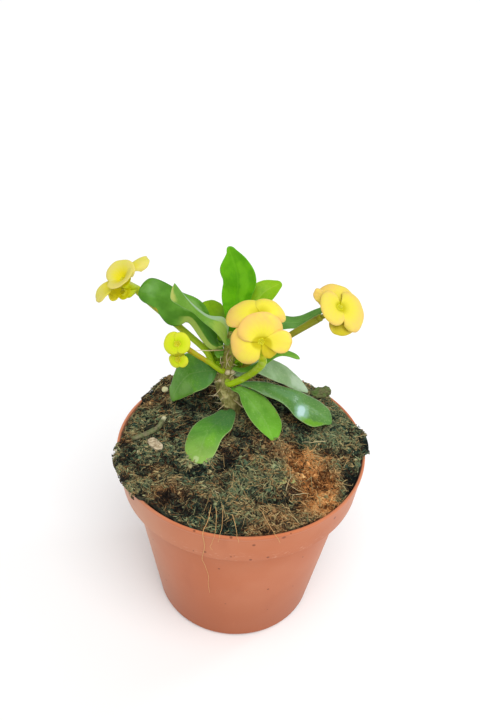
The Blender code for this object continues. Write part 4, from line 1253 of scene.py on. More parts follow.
@dataclass(frozen=True)
class Cyathium:
    """One flower cup: its place, the way it looks, and its bracts as bearing, length, lean, curl, spread."""

    centre: Triple
    looks: Triple
    bracts: tuple[tuple[float, float, float, float, float], ...]
    profile: tuple[Pair, ...] = (
        (0.0, -1.6), (0.55, -1.6), (0.95, -0.5), (2.1, -0.15), (2.1, 0.0), (0.98, -0.1), (0.92, 0.3),
        (0.8, 0.46), (0.62, 0.42), (0.4, 0.24), (0.2, 0.22), (0.14, 0.4), (0.0, 0.44),
    )
    radius: float = 1.7
    spokes: int = 48
    rings: int = 22

    def frame(self) -> tuple[Floats, Floats, Floats]:
        """The cup's own directions: right, up and out along its axis.

        Returns:
            Three unit vectors; up lies as near to straight up as it can.
        """
        out = unit(self.looks)
        up = unit(np.array([0.0, 0.0, 1.0]) - out * out[2])
        return np.cross(up, out), up, out

    def bract(self, number: int) -> Surface:
        """One bract, as a fan over its bearing t, from -1 to 1, and its reach s, from 0 to 1.

        Its length is length * (1 - 0.42 |t|^3.5). Its slope starts at the lean and loses the curl along its
        length, so that it goes out by (sin lean - sin slope) / curl and up by (cos slope - cos lean) / curl.
        It is ruffled by 0.055 * length * s^2 * sin(3.2 t + phase), and its margin rolls back by s^12.

        Args:
            number: Which of the cup's bracts it is.

        Returns:
            The closed bract, with fields for its finish.
        """
        angle, length, lean, curl, spread = self.bracts[number]
        right, up, out = self.frame()
        s, t = np.linspace(0, 1, self.rings)[:, None], np.linspace(-1, 1, self.spokes + 1)[None]
        bearing = np.radians(angle + t * spread)
        outward = np.cos(bearing)[..., None] * right + np.sin(bearing)[..., None] * up
        wavy = 1 + 0.015 * np.sin(5 * t + number) + 0.006 * np.sin(13 * t + 2 * number)
        reach = length * (1 - 0.42 * np.abs(t) ** 3.5) * wavy
        inner = 0.55 * self.radius
        lean, curl = math.radians(lean), math.radians(curl)
        slope = lean - curl * s
        run = (reach - inner) * (math.sin(lean) - np.sin(slope)) / curl
        lift = (reach - inner) * (np.cos(slope) - math.cos(lean)) / curl
        lift = lift + 0.055 * length * s**2 * np.sin(3.2 * t + math.radians(angle))
        frill = 0.014 * length * s**5 * (np.sin(7 * t + 1.7 * number) + 0.4 * np.sin(17 * t + number))
        roll = -0.035 * length * s**12
        ray = np.abs(np.sin(17 * t + 1.3 * np.sin(5 * s))) ** 6 * ease(s, 0.08, 0.3) * (1 - ease(s, 0.7, 1.0))
        middle = np.array(self.centre) + outward * (inner + run)[..., None]
        own = 0.2 * (number % 2) - 0.1 + 0.12 * t
        middle = middle + out * (lift + frill + roll + own - 0.03 * ray)[..., None]
        rim = np.maximum(s + 0 * t, np.abs(t) ** 6 * ease(s, 0.3, 0.7))
        thick = 0.42 * np.sqrt(np.clip(1 - rim**10, 0.04, 1)) + 0.25 * (1 - s) ** 2
        normal = out * np.cos(slope)[..., None] - outward * np.sin(slope)[..., None]
        return blade(middle, normal, thick, {"reach": s + 0 * t, "ray": ray, "rim": rim})

    def cup(self) -> Surface:
        """The cup: a turned wall with a thin collar behind the bracts, and five gland lobes, 1 + 0.1 cos 5a.

        Returns:
            The closed cup; its field "along" is 0 outside and 1 in the mouth.
        """
        body = turned(rounded(np.array(self.profile) * self.radius, 0.35), 50)
        x, y, z = body.points.T
        angle, radius = np.arctan2(y, x), np.hypot(x, y)
        wave = 0.1 * np.cos(5 * angle)
        lobe = 1 + wave * ease(z, 0.0, 0.5) * ease(radius, 0.3, 1.1)
        gland = wave * ease(z, 0.2, 0.7) * ease(radius, 0.6, 1.2)
        right, up, out = self.frame()
        level = (lobe * x)[:, None] * right + (lobe * y)[:, None] * up
        points = np.array(self.centre) + level + (z + gland)[:, None] * out
        mouth = (1 - ease(radius, 0.6 * self.radius, 0.9 * self.radius)) * (z > 0)
        return Surface(points, body.quads, body.tris, {"along": mouth}).outward()


@dataclass(frozen=True)
class Bloom:
    """A cluster of cups and bracts on one stalk."""

    name: str
    azimuth: float
    height: float
    course: tuple[Triple, ...]
    radius: float
    cups: tuple[Cyathium, ...]
    bract_finish: BractFinish
    stalk_finish: StalkFinish
    glows: tuple[Four, ...] = ()
    # Spots of x, y, z and width where the bracts take the throat colour: painted shade in the cups' throats,
    # and the bracts' own deeper yellow elsewhere.
    throat_shade_and_deep_spots: tuple[Four, ...] = ()
    fork_finish: StalkFinish = StalkFinish((176, 198, 8), (206, 214, 16), (180, 176, 16))
    pedicel_share: float = 0.8

    def stalk(self, stem: WoodyStem) -> tuple[Surface, Surface]:
        """The stalk, thinner at its seat and thicker at its top, and the fork with a pedicel to each cup.

        Args:
            stem: The stem that the stalk grows from.

        Returns:
            The stalk's skin and the fork.
        """
        share = np.linspace(0, 1, 70)
        knots = np.vstack([stem.seat(self.azimuth, self.height, 2 * self.radius), self.course])
        path = smooth_path(knots, share)
        relief = 0.05 * self.radius * np.sin(5 * round_angles(20) + 3 * share[:, None])
        radii = self.radius * (1 + 0.25 * share**4 - 0.22 * bell(share, 0.12))
        skin = tubes(path[None], radii[None], 20, 0.25, None, relief[None])
        forward = unit(self.course[-1] - smooth_path(knots, np.array([0.9]))[0])
        fork = path[-1] + forward * 0.2
        neck = fork + forward * np.linspace(0, 2.7, 9)[:, None]
        girth = self.radius * np.interp(np.linspace(0, 1, 9), [0, 0.5, 1], [1.15, 1.25, 0.75])
        forks = [tubes(neck[None], girth[None], 20, 0.4)]
        share = np.linspace(0, 1, 24)
        widths = self.pedicel_share * self.radius * (1 + 0.35 * share**3)
        for cup in self.cups:
            out = unit(cup.looks)
            under = np.array(cup.centre) - out * 1.3 * cup.radius
            line = smooth_path(np.array([fork + forward * 1.7, under - out * 1.2, under + out * 0.4]), share)
            forks.append(tubes(line[None], widths[None], 16, 0.2))
        return skin, Surface.joined(forks)

    def build(self, stem: WoodyStem) -> None:
        """Makes the stalk, its fork with the pedicels, the cups and the bracts.

        Args:
            stem: The stem that the stalk grows from.
        """
        skin, forks = self.stalk(stem)
        finish = self.stalk_finish.material("stalk_" + self.name)
        place(skin.object(f"stalk_{self.name}_skin"), finish, "stalk_green", "stalk_" + self.name)
        finish = self.fork_finish.material("fork_" + self.name)
        place(forks.object(f"bloom_{self.name}_fork"), finish, "stalk_green")
        petals = Surface.joined([cup.bract(number) for cup in self.cups for number in range(len(cup.bracts))])
        # The deep spots paint shade into the cups' throats, and deeper yellow on some bracts.
        for key, spots in (("glow", self.glows), ("deep", self.throat_shade_and_deep_spots)):
            petals.fields[key] = np.zeros(len(petals.points))
            for *spot, wide in spots:
                petals.fields[key] += bell(np.linalg.norm(petals.points - spot, axis=1), wide)
        finish = self.bract_finish.material("bracts_" + self.name)
        place(petals.object(f"bloom_{self.name}_bracts"), finish, "bract_yellow", "bloom_" + self.name)
        mouths = Surface.joined([cup.cup() for cup in self.cups]).object(f"bloom_{self.name}_cups")
        place(mouths, CupFinish().material("cups_" + self.name), "bract_yellow")


@dataclass(frozen=True)
class SoilBed:
    """The potting mix: it fills the pot, is heaped in a low lumpy mound and hangs over the rim in places."""

    mound: float = 5.2
    edge: float = -1.6
    swells: tuple[Triple, ...] = (
        (-154.0, 27.0, 4.2), (136.0, 15.0, 6.0), (90.0, 30.0, 2.0), (45.0, 10.0, 2.4), (4.0, 17.0, 3.6),
        (-34.0, 15.0, -3.0),
    )
    overhangs: tuple[Triple, ...] = ((-150.0, 22.0, 3.5), (4.0, 18.0, 3.8))
    hollows: tuple[Four, ...] = ((-19.0, 17.0, 5.5, -2.6), (9.0, 22.0, 5.0, -1.6), (34.0, -24.0, 9.0, -1.2))
    lump_count: int = 70
    lump_reach: float = 54.0
    lump_widths: Pair = (3.0, 6.0)
    lump_heights: Pair = (-1.5, 2.0)
    seed: int = 11
    hole: float = 4.6
    coir_line: tuple[Pair, Pair] = ((30.0, -15.5), (36.0, -34.0))
    warm_spots: tuple[Four, ...] = (
        (7.5, 0.0, 6.0, 0.9), (19.0, -10.2, 6.0, 0.9), (16.4, -46.3, 13.0, 0.9), (-34.2, -36.0, 8.0, 0.8),
        (-24.0, 12.0, 14.0, -0.6), (36.0, -24.0, 16.0, 0.6), (0.0, -49.0, 7.0, 0.3), (-46.0, 5.0, 12.0, -0.6),
        (-47.0, -14.0, 8.0, -0.4), (-18.5, -23.6, 10.0, -0.8), (57.0, 4.0, 12.0, -0.9),
        (1.0, -21.0, 6.0, -0.7), (-5.0, -35.0, 7.0, -0.6), (43.6, 10.1, 12.0, -0.8), (20.0, 35.0, 14.0, -0.3),
    )
    # Painted shadow: spots of x, y, width and weight where the soil is painted darker, under the leaves by
    # the stem and in gaps at the rim.
    painted_shadow_spots: tuple[Four, ...] = (
        (-19.8, 31.7, 6.0, 0.9), (-25.3, 18.0, 7.0, 0.9), (-28.5, 3.0, 5.0, 0.6), (2.8, -4.5, 5.0, 0.7),
        (-31.3, -41.9, 5.0, 0.8), (-39.0, -47.0, 5.0, 0.7), (58.7, 12.7, 4.0, 0.7), (53.8, -23.0, 4.0, 0.5),
        (-3.8, -21.2, 5.0, 0.6), (9.7, 30.8, 8.0, 0.9), (28.7, 10.0, 6.0, 0.8), (-13.3, 2.0, 6.0, 0.7),
    )
    clod: float = 6.5
    crumb: float = 2.4
    columns: int = 420
    rings: int = 104

    def lumps(self) -> Floats:
        """The seeded lumps and the hollows.

        Returns:
            Rows of x, y, width and height.
        """
        draw = random.Random(self.seed)
        rows = []
        for _ in range(self.lump_count):
            reach = self.lump_reach * math.sqrt(draw.random())
            angle = draw.uniform(0.0, 2 * math.pi)
            sizes = [draw.uniform(*limits) for limits in (self.lump_widths, self.lump_heights)]
            rows.append((reach * math.cos(angle), reach * math.sin(angle), *sizes))
        return np.vstack([rows, self.hollows])

    @staticmethod
    def swell(bearing: Floats, table: tuple[Triple, ...]) -> Floats:
        """The sum of height * exp(-(turn / half-width)^2) over a table's rows, at bearings."""
        return sum(height * bell((bearing - at + 180) % 360 - 180, wide) for at, wide, height in table)

    @staticmethod
    def bells(x: Floats, y: Floats, table: Floats | tuple[Four, ...]) -> Floats:
        """The sum of height * exp(-(distance / width)^2) over rows of x, y, width and height."""
        return sum(row[3] * np.exp(-((row[0] - x) ** 2 + (row[1] - y) ** 2) / row[2] ** 2) for row in table)

    def level(self, bearing: Floats) -> Floats:
        """How far the soil's edge stands over the rim's level, at bearings."""
        return self.edge + self.swell(bearing, self.swells)

    def reach(self, bearing: Floats) -> Floats:
        """The radius of the soil's edge at bearings: beyond the wall only where it clears the rim."""
        over = self.swell(bearing, self.overhangs) * ease(self.level(bearing), 0.8, 1.3)
        return BORE + np.where(over > 0.3, over, 0.0)

    def crumbs(self, x: Floats, y: Floats) -> Floats:
        """The height of the clods and crumbs: layered noise at two sizes."""
        spot = level_places(x, y)
        return 1.15 * rolling(spot, self.clod, 4) + 0.85 * rolling(spot, self.crumb, 5, 2)

    def height(self, x: Floats, y: Floats, crumbly: float = 1.0) -> Floats:
        """The top of the soil: mound, edge, lumps and hollows, with its crumbs.

        Args:
            x: Where, across.
            y: Where, in depth.
            crumbly: How much of the crumbs is added.

        Returns:
            The height at each place.
        """
        share = np.hypot(x, y) / (RIM_RADIUS - WALL)
        bumps = self.bells(x, y, self.lumps()) * np.maximum(0.0, 1 - share**8)
        edge = self.level(np.degrees(np.arctan2(y, x))) * share**3
        plain = POT_HEIGHT + edge + self.mound * (1 - np.minimum(share, 1) ** 2) + bumps
        return plain + crumbly * self.crumbs(x, y)

    def orange(self, x: Floats, y: Floats) -> Floats:
        """How much coir shows, by the distance from the patch's middle line and noise at its edge.

        Args:
            x: Where, across.
            y: Where, in depth.

        Returns:
            1 on the line, falling to 0 some 14 mm from it.
        """
        start, end = np.array(self.coir_line)
        run = end - start
        t = np.clip(((x - start[0]) * run[0] + (y - start[1]) * run[1]) / (run @ run), 0, 1)
        apart = np.hypot(x - start[0] - t * run[0], y - start[1] - t * run[1])
        ragged = 4.0 * rolling(level_places(x, y), 6.0, 9, 2)
        return 1 - ease(apart + ragged, 4.0, 15.0)

    def casts(self, x: Floats, y: Floats) -> tuple[Floats, Floats, Floats]:
        """What the finishes read at places: how orange, how warm, and how much painted shade each takes.

        Args:
            x: Where, across.
            y: Where, in depth.

        Returns:
            Three shares from 0 to 1.
        """
        patches = 0.75 * rolling(level_places(x, y), 8.0, 6, 2)
        warm = ease(patches + self.bells(x, y, self.warm_spots), -0.55, 1.05)
        # Painted shade: darker where the crumbs are low, and at the painted shadow spots.
        deep = ease(-self.crumbs(x, y), -0.2, 1.0) + self.bells(x, y, self.painted_shadow_spots)
        return self.orange(x, y), warm, np.minimum(deep, 1.4)

    def surface(self) -> Surface:
        """The plug: down the pot's inside, with the lumpy top and the stem's plain hole.

        Returns:
            The closed plug, with fields for its finish.
        """
        foot = np.array(WoodyStem().stations[1][:2])
        bearing = np.linspace(-180, 180, self.columns, endpoint=False)
        angle = np.radians(bearing)
        reach, level = self.reach(bearing), self.level(bearing)
        hangs = reach > BORE
        lower = ((BASE_RADIUS - WALL - 0.4, FLOOR + SEAT_GAP),
                 (BODY_TOP_RADIUS - WALL - 0.6, LEDGE + WALL + 0.3),
                 (COLLAR_FOOT_RADIUS - WALL - 0.6, LEDGE + WALL + 0.45))
        rows = [round_places(angle, radius, z) for radius, z in lower]
        rim = POT_HEIGHT + 1.2 * SEAT_GAP
        for drop, out in ((1.5, 0.0), (0.9, 1.0), (0.4, 1.04)):
            z = np.where(hangs, rim + max(0.0, 0.9 - drop), POT_HEIGHT + level - drop)
            grown = (RIM_RADIUS - COLLAR_FOOT_RADIUS) * (z - LEDGE) / COLLAR_HEIGHT
            taper = COLLAR_FOOT_RADIUS + grown - WALL
            radius = np.where(hangs, BORE + (reach - BORE) * out, np.minimum(BORE, taper - BED_GAP))
            rows.append(round_places(angle, radius, z))
        share = np.linspace(0, 1, self.rings)[:, None, None]
        hole = foot + round_places(angle, self.hole, 0)[:, :2]
        flat = round_places(angle, reach - 0.4, 0)[:, :2] * (1 - share) + hole * share
        crumbs = self.crumbs(flat[..., 0], flat[..., 1]) * ease(share[..., 0], 0.0, 0.03)
        top = self.height(flat[..., 0], flat[..., 1], 0.0) + crumbs
        rows += list(np.concatenate([flat, top[..., None]], axis=2))
        pit = WoodyStem().stations[0][2] - SEAT_GAP
        rows.append(np.column_stack([hole, np.full(self.columns, pit)]))
        plug = capped(np.array(rows), np.array([[0, 0, FLOOR + SEAT_GAP], [*foot, pit]]))
        orange, warm, painted_shade = self.casts(*plug.points[:, :2].T)
        # Painted shade darkens the tone.
        plug.fields = {"tone": 0.42 - 0.4 * painted_shade, "warm": warm, "orange": orange}
        return plug

    def build(self) -> None:
        """Makes the soil."""
        finish = GroundFinish("potting_mix", True).material()
        place(self.surface().object("soil_bed"), finish, "soil_mix", "soil")


class Patch(Enum):
    """Where on the soil a kind of scrap lies."""

    MOSS = "moss"
    COIR = "coir"
    EVERYWHERE = "everywhere"


@dataclass(frozen=True)
class Scattered:
    """Many small bodies of one kind at seeded places on the soil, each in its own tone.

    They lie over one kind of patch, or else about given spots of x, y and spread.
    """

    name: str
    count: int
    patch: Patch
    seed: int
    finish: GroundFinish | FibreFinish
    _: KW_ONLY
    spots: tuple[Triple, ...] = ()
    light: float = 0.5
    outermost: float = 58.5
    stem_room: float = 5.2

    def places(self, soil: SoilBed) -> tuple[Floats, Floats, np.random.Generator]:
        """Random places on the round top, kept by how well each suits the patch.

        Args:
            soil: The soil that they lie on.

        Returns:
            Their x, their y and the generator, for further draws.
        """
        draw = np.random.default_rng(self.seed)
        if self.spots:
            rows = np.array(self.spots)[draw.integers(0, len(self.spots), self.count)]
            x, y = (rows[:, k] + rows[:, 2] * draw.normal(0, 1, self.count) for k in (0, 1))
            return x, y, draw
        tries = self.count * 6
        radius = self.outermost * np.sqrt(draw.random(tries))
        angle = draw.uniform(-math.pi, math.pi, tries)
        x, y = radius * np.cos(angle), radius * np.sin(angle)
        orange = soil.orange(x, y)
        patchy = 0.5 + 0.5 * rolling(level_places(x, y), 5.0, self.seed, 2)
        wanted = {Patch.MOSS: (1 - 0.9 * orange) * (0.25 + patchy), Patch.COIR: orange + 0.04 * patchy,
                  Patch.EVERYWHERE: np.ones_like(x)}[self.patch]
        foot = WoodyStem().stations[1]
        clear = np.hypot(x - foot[0], y - foot[1]) > self.stem_room
        kept = np.flatnonzero((draw.random(tries) < wanted) & clear)[:self.count]
        return x[kept], y[kept], draw

    def build(self, soil: SoilBed) -> None:
        """Makes the bodies on the soil that they lie on."""
        place(self.surface(soil).object(self.name), self.finish.material(), "soil_mix")


@dataclass(frozen=True)
class FibreMat(Scattered):
    """Loose strands of one kind: short stiff shoots or long fibres that lie over each other on the soil."""

    length: Pair
    radius: Pair
    lift: Pair
    rise: Pair
    bend: float
    _: KW_ONLY
    steps: int = 4
    sides: int = 3
    furthest: Pair = (57.4, 62.2)
    past_soil: float = 2.2
    lip: float = 60.4
    rim_band: Pair = (57.6, 61.2)
    stem_push: float = 5.0

    def surface(self, soil: SoilBed) -> Surface:
        """Each strand sets out at a random heading, which turns by bend * share^1.5, and rises at a slope
        that flattens, rise * (share - 0.4 share^2), over a mean of the ground at and under it. Past the rim
        it droops by 0.9 of the distance, and past the soil's own edge, on the rim, by twice the distance.

        Args:
            soil: The soil that they lie on.

        Returns:
            The strands, each with its own tone, warmth and orange.
        """
        x, y, draw = self.places(soil)
        count = len(x)
        share = np.linspace(0, 1, self.steps)
        bend = draw.normal(0, self.bend, (count, 1))
        heading = draw.uniform(-math.pi, math.pi, (count, 1)) + bend * share**1.5
        length = draw.uniform(*self.length, (count, 1))
        rise = np.radians(draw.uniform(*self.rise, (count, 1)))
        stride = length * np.cos(rise) / (self.steps - 1) * np.array([np.cos(heading), np.sin(heading)])
        spot = np.array([x, y])[..., None] + np.cumsum(stride, axis=2) - stride[..., :1]
        reach, bearing = np.hypot(*spot), np.degrees(np.arctan2(spot[1], spot[0]))
        furthest = np.interp(soil.level(bearing), [0.2, 1.2], self.furthest)
        furthest = np.minimum(furthest, soil.reach(bearing) + self.past_soil)
        spot = spot * np.minimum(1, furthest / np.maximum(reach, 1e-6))
        foot = np.array(WoodyStem().stations[1][:2])[:, None, None]
        apart = spot - foot
        spot = foot + apart * np.maximum(1, self.stem_push / np.maximum(np.hypot(*apart), 1e-6))
        reach = np.hypot(*spot)
        inward = spot * np.minimum(1, self.lip / np.maximum(reach, 1e-6))
        past_bed = np.maximum(np.minimum(reach, self.lip) - soil.reach(bearing) - 0.4, 0)
        droop = 0.9 * np.maximum(reach - self.lip, 0)
        ground = soil.height(*inward) - droop - 2.0 * past_bed
        ground = 0.5 * ground + 0.5 * ground.mean(axis=1, keepdims=True)
        climb = length * np.sin(rise) * (share - 0.4 * share**2)
        lift = draw.uniform(*self.lift, (count, 1))
        height = ground + lift + climb + draw.normal(0, 0.08, (count, self.steps))
        on_rim = (reach > self.rim_band[0]) & (reach < self.rim_band[1])
        height = np.where(on_rim, np.maximum(height, POT_HEIGHT + 0.5), height)
        radii = draw.uniform(*self.radius, (count, 1)) * (1.0 - 0.55 * share**2)
        orange, warm, painted_shade = soil.casts(x, y)
        # Painted shade: each strand is painted darker where the soil under it is in painted shade.
        tone = np.clip(draw.normal(self.light + 0.07, 0.2, count) - 0.56 * painted_shade, 0.02, 1)
        warm = np.clip(warm + draw.normal(0, 0.32, count), 0, 1)
        tinted = draw.random(count) < 0.85
        orange = np.where(tinted, np.clip(orange + draw.normal(0, 0.22, count), 0, 1), 0.0)
        fields = {"tone": tone[:, None], "warm": warm[:, None], "orange": orange[:, None]}
        return tubes(np.stack([*spot, height], axis=-1), radii, self.sides, 1.2, fields)


@dataclass(frozen=True)
class Crumbs(Scattered):
    """Small uneven grains on the soil: peat, bark and pale grit, as icosahedra pulled out of true."""

    size: Pair
    squash: float
    _: KW_ONLY
    light: float = 0.45
    outermost: float = 57.2

    @staticmethod
    def icosahedron() -> tuple[Floats, Ints]:
        """The twelve corners of three golden rectangles, at length one, and the faces between them.

        Returns:
            The corners and the twenty faces, which point outwards.
        """
        gold = (1 + math.sqrt(5)) / 2
        signs = [(s, t) for s in (-1, 1) for t in (-1, 1)]
        corners = unit(np.array([(s, gold * t, 0) for s, t in signs] + [(0, s, gold * t) for s, t in signs]
                                + [(gold * s, 0, t) for s, t in signs]))
        near = np.linalg.norm(corners[:, None] - corners[None], axis=2) < 1.2
        mesh = np.array([(i, j, k) for i in range(12) for j in range(i + 1, 12) for k in range(j + 1, 12)
                         if near[i, j] and near[j, k] and near[i, k]])
        a, b, c = (corners[mesh[:, k]] for k in range(3))
        inward = np.einsum("ij,ij->i", a, np.cross(b, c)) < 0
        mesh[inward] = mesh[inward][:, ::-1]
        return corners, mesh

    def surface(self, soil: SoilBed) -> Surface:
        """Each grain is an icosahedron, each corner moved out or in, flattened and turned about Z.

        Args:
            soil: The soil that they lie on.

        Returns:
            The grains, each with its own tone, warmth and orange.
        """
        x, y, draw = self.places(soil)
        count = len(x)
        corners, mesh = self.icosahedron()
        size = draw.uniform(*self.size, (count, 1, 1)) * draw.uniform(0.5, 1.0, (count, 1, 1))
        pulled = corners[None] * draw.uniform(0.7, 1.3, (count, 12, 1)) * size
        body = pulled * draw.uniform(0.6, 1.4, (count, 1, 3))
        body[..., 2] *= self.squash
        turn = draw.uniform(0, 2 * math.pi, (count, 1))
        across = np.cos(turn) * body[..., 0] - np.sin(turn) * body[..., 1]
        over = np.sin(turn) * body[..., 0] + np.cos(turn) * body[..., 1]
        up = body[..., 2] + draw.normal(0, 0.35, (count, 1)) * across
        rest = soil.height(x, y) + 0.35 * size[:, 0, 0] * self.squash
        points = np.stack([across + x[:, None], over + y[:, None], up + rest[:, None]], axis=-1)
        starts = (np.arange(count) * 12)[:, None, None]
        orange, warm, painted_shade = soil.casts(x, y)
        # Painted shade: each grain is painted darker where the soil under it is in painted shade.
        tone = np.clip(draw.normal(self.light, 0.2, count) - 0.35 * painted_shade, 0.02, 1)
        warm = np.clip(warm + draw.normal(0, 0.25, count), 0, 1)
        fields = {"tone": tone, "warm": warm, "orange": orange}
        kept = {name: np.repeat(values, 12) for name, values in fields.items()}
        faces = (mesh[None] + starts).reshape(-1, 3)
        return Surface(points.reshape(-1, 3), tris=faces, fields=kept, flat=True)


@dataclass(frozen=True)
class HangingRoots:
    """Fine pale roots that lie over the rim and hang down the pot's outside."""

    routes: tuple[tuple[Triple, ...], ...] = (
        ((-105.8, 44.0, 100.6), (-103.9, 54.0, 100.0), (-104.2, 60.3, 98.8), (-103.5, 59.8, 89.7),
         (-104.8, 58.6, 80.0), (-105.4, 54.0, 70.7), (-104.0, 51.4, 58.2), (-103.9, 48.8, 44.0)),
        ((-107.5, 40.0, 100.8), (-101.8, 48.0, 100.6), (-99.8, 55.2, 100.2), (-99.2, 60.5, 98.6),
         (-100.2, 60.3, 94.0), (-101.2, 60.0, 91.0), (-99.9, 60.1, 89.0)),
        ((-101.5, 41.0, 100.8), (-98.1, 48.5, 100.4), (-97.2, 55.4, 99.8), (-97.0, 60.4, 98.7),
         (-97.4, 60.5, 95.0)),
        ((-77.5, 48.0, 100.6), (-75.9, 55.0, 100.0), (-74.0, 60.5, 98.4), (-71.8, 60.2, 93.0)),
        ((-93.0, 49.0, 100.4), (-91.0, 55.0, 99.8), (-90.0, 60.2, 98.8), (-89.6, 60.5, 96.2)),
    )
    radius: float = 0.15
    tones: Ramp = ((0.2, (164, 120, 70)), (0.6, (212, 168, 112)))

    def build(self) -> None:
        """Makes the roots from routes of bearing, radius and height, with a sway of smooth noise."""
        share = np.linspace(0, 1, 60)
        found = []
        for number, route in enumerate(self.routes):
            knots = [outward_way(bearing) * reach + (0, 0, height) for bearing, reach, height in route]
            line = smooth_path(np.array(knots), share)
            spot = np.stack([share * 9, share * 0 + number, 0 * share], axis=-1)
            sway = np.stack([rolling(spot, 1.0, 40 + k) for k in (0, 1)], axis=1)
            line[:, :2] += 0.35 * sway * ease(share, 0.4, 0.8)[:, None]
            radii = self.radius * (1.15 - 0.6 * share)
            found.append(tubes(line[None], radii[None], 6, 1.0, {"tone": np.full((1, 60), 0.5)}))
        finish = FibreFinish("pale_root", self.tones)
        place(Surface.joined(found).object("hanging_roots"), finish.material(), "soil_mix")


@dataclass(frozen=True)
class Scraps:
    """The larger scraps on the soil: a bark chip, a bark lump, a curved twig and a pale bead."""

    twig_course: tuple[Triple, ...] = (
        (-52.0, -5.0, 101.0), (-46.0, -3.0, 102.6), (-40.5, 0.5, 104.0), (-38.0, 6.5, 105.5),
    )
    twig_radius: float = 1.25
    lump_rings: int = 28
    lump_sides: int = 44

    def lump(self, node: str, turn: float, shape: Triple, power: float, rough: float, seed: int) -> Surface:
        """A worn lump in its solid's box: a sphere's directions raised to a power, roughened by noise.

        Args:
            node: The solid that it stands for, whose box gives its middle and height.
            turn: How far it is turned about Z.
            shape: Its half sizes before that turn.
            power: Under 1 makes it blocky.
            rough: The height of its roughness.
            seed: Chooses its roughness.

        Returns:
            The closed lump.
        """
        low, high = (np.array(corner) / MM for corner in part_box(node))
        tilts = np.linspace(-math.pi / 2, math.pi / 2, self.lump_rings + 2)[1:-1]
        tilt, spin = np.meshgrid(tilts, round_angles(self.lump_sides), indexing="ij")
        way = round_places(spin, np.cos(tilt), np.sin(tilt))
        rings = np.sign(way) * np.abs(way) ** power * shape
        rings = rings + way * rough * rolling(rings * [0.5, 1.6, 1.6], 1.6, seed, 3)[..., None]
        body = capped(rings, np.array([[0, 0, -shape[2]], [0, 0, shape[2]]]) * 0.96)
        c, s, _ = outward_way(turn)
        body.points = body.points @ np.array([[c, s, 0], [-s, c, 0], [0, 0, 1]]) + (low + high) / 2
        return body

    def twig(self) -> Surface:
        """The curved twig, resting at its solid's height: a tube, thinner at its ends, with noise for bark.

        Returns:
            The closed twig.
        """
        share = np.linspace(0, 1, 60)
        path = smooth_path(np.array(self.twig_course), share)
        radii = self.twig_radius - 0.35 * np.abs(2 * share - 1) ** 3
        path[:, 2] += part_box("twig")[0].z / MM - (path[:, 2] - radii).min()
        spot = round_places(round_angles(22), 1, 3 * share[:, None])
        return tubes(path[None], radii[None], 22, 0.35, None, 0.22 * rolling(spot, 0.5, 6, 3)[None])

    def build(self) -> None:
        """Makes the four scraps."""
        scraps = (
            ("bark_chip", "fibrous", self.lump("bark_chip", -54, (4.6, 2.5, 1.0), 0.66, 0.5, 3),
             ScrapFinish("chip", (128, 106, 78), (214, 198, 168))),
            ("bark_lump", "mossy", self.lump("bark_lump", 20, (5.6, 3.0, 1.5), 0.6, 0.8, 8),
             ScrapFinish("lump", (58, 58, 34), (114, 116, 74), 0.8)),
            ("pale_bead", "seed", self.lump("pale_bead", 0, (1.7, 1.7, 1.4), 1.0, 0.12, 5),
             ScrapFinish("bead", (196, 190, 132), (232, 228, 184))),
            ("twig", "curved", self.twig(),
             ScrapFinish("twig", (62, 62, 42), (136, 130, 98), 0.35, tip=(206, 200, 164))),
        )
        for node, kind, surface, finish in scraps:
            place(surface.object(f"{node}_{kind}"), finish.material(), "litter_wood", node)


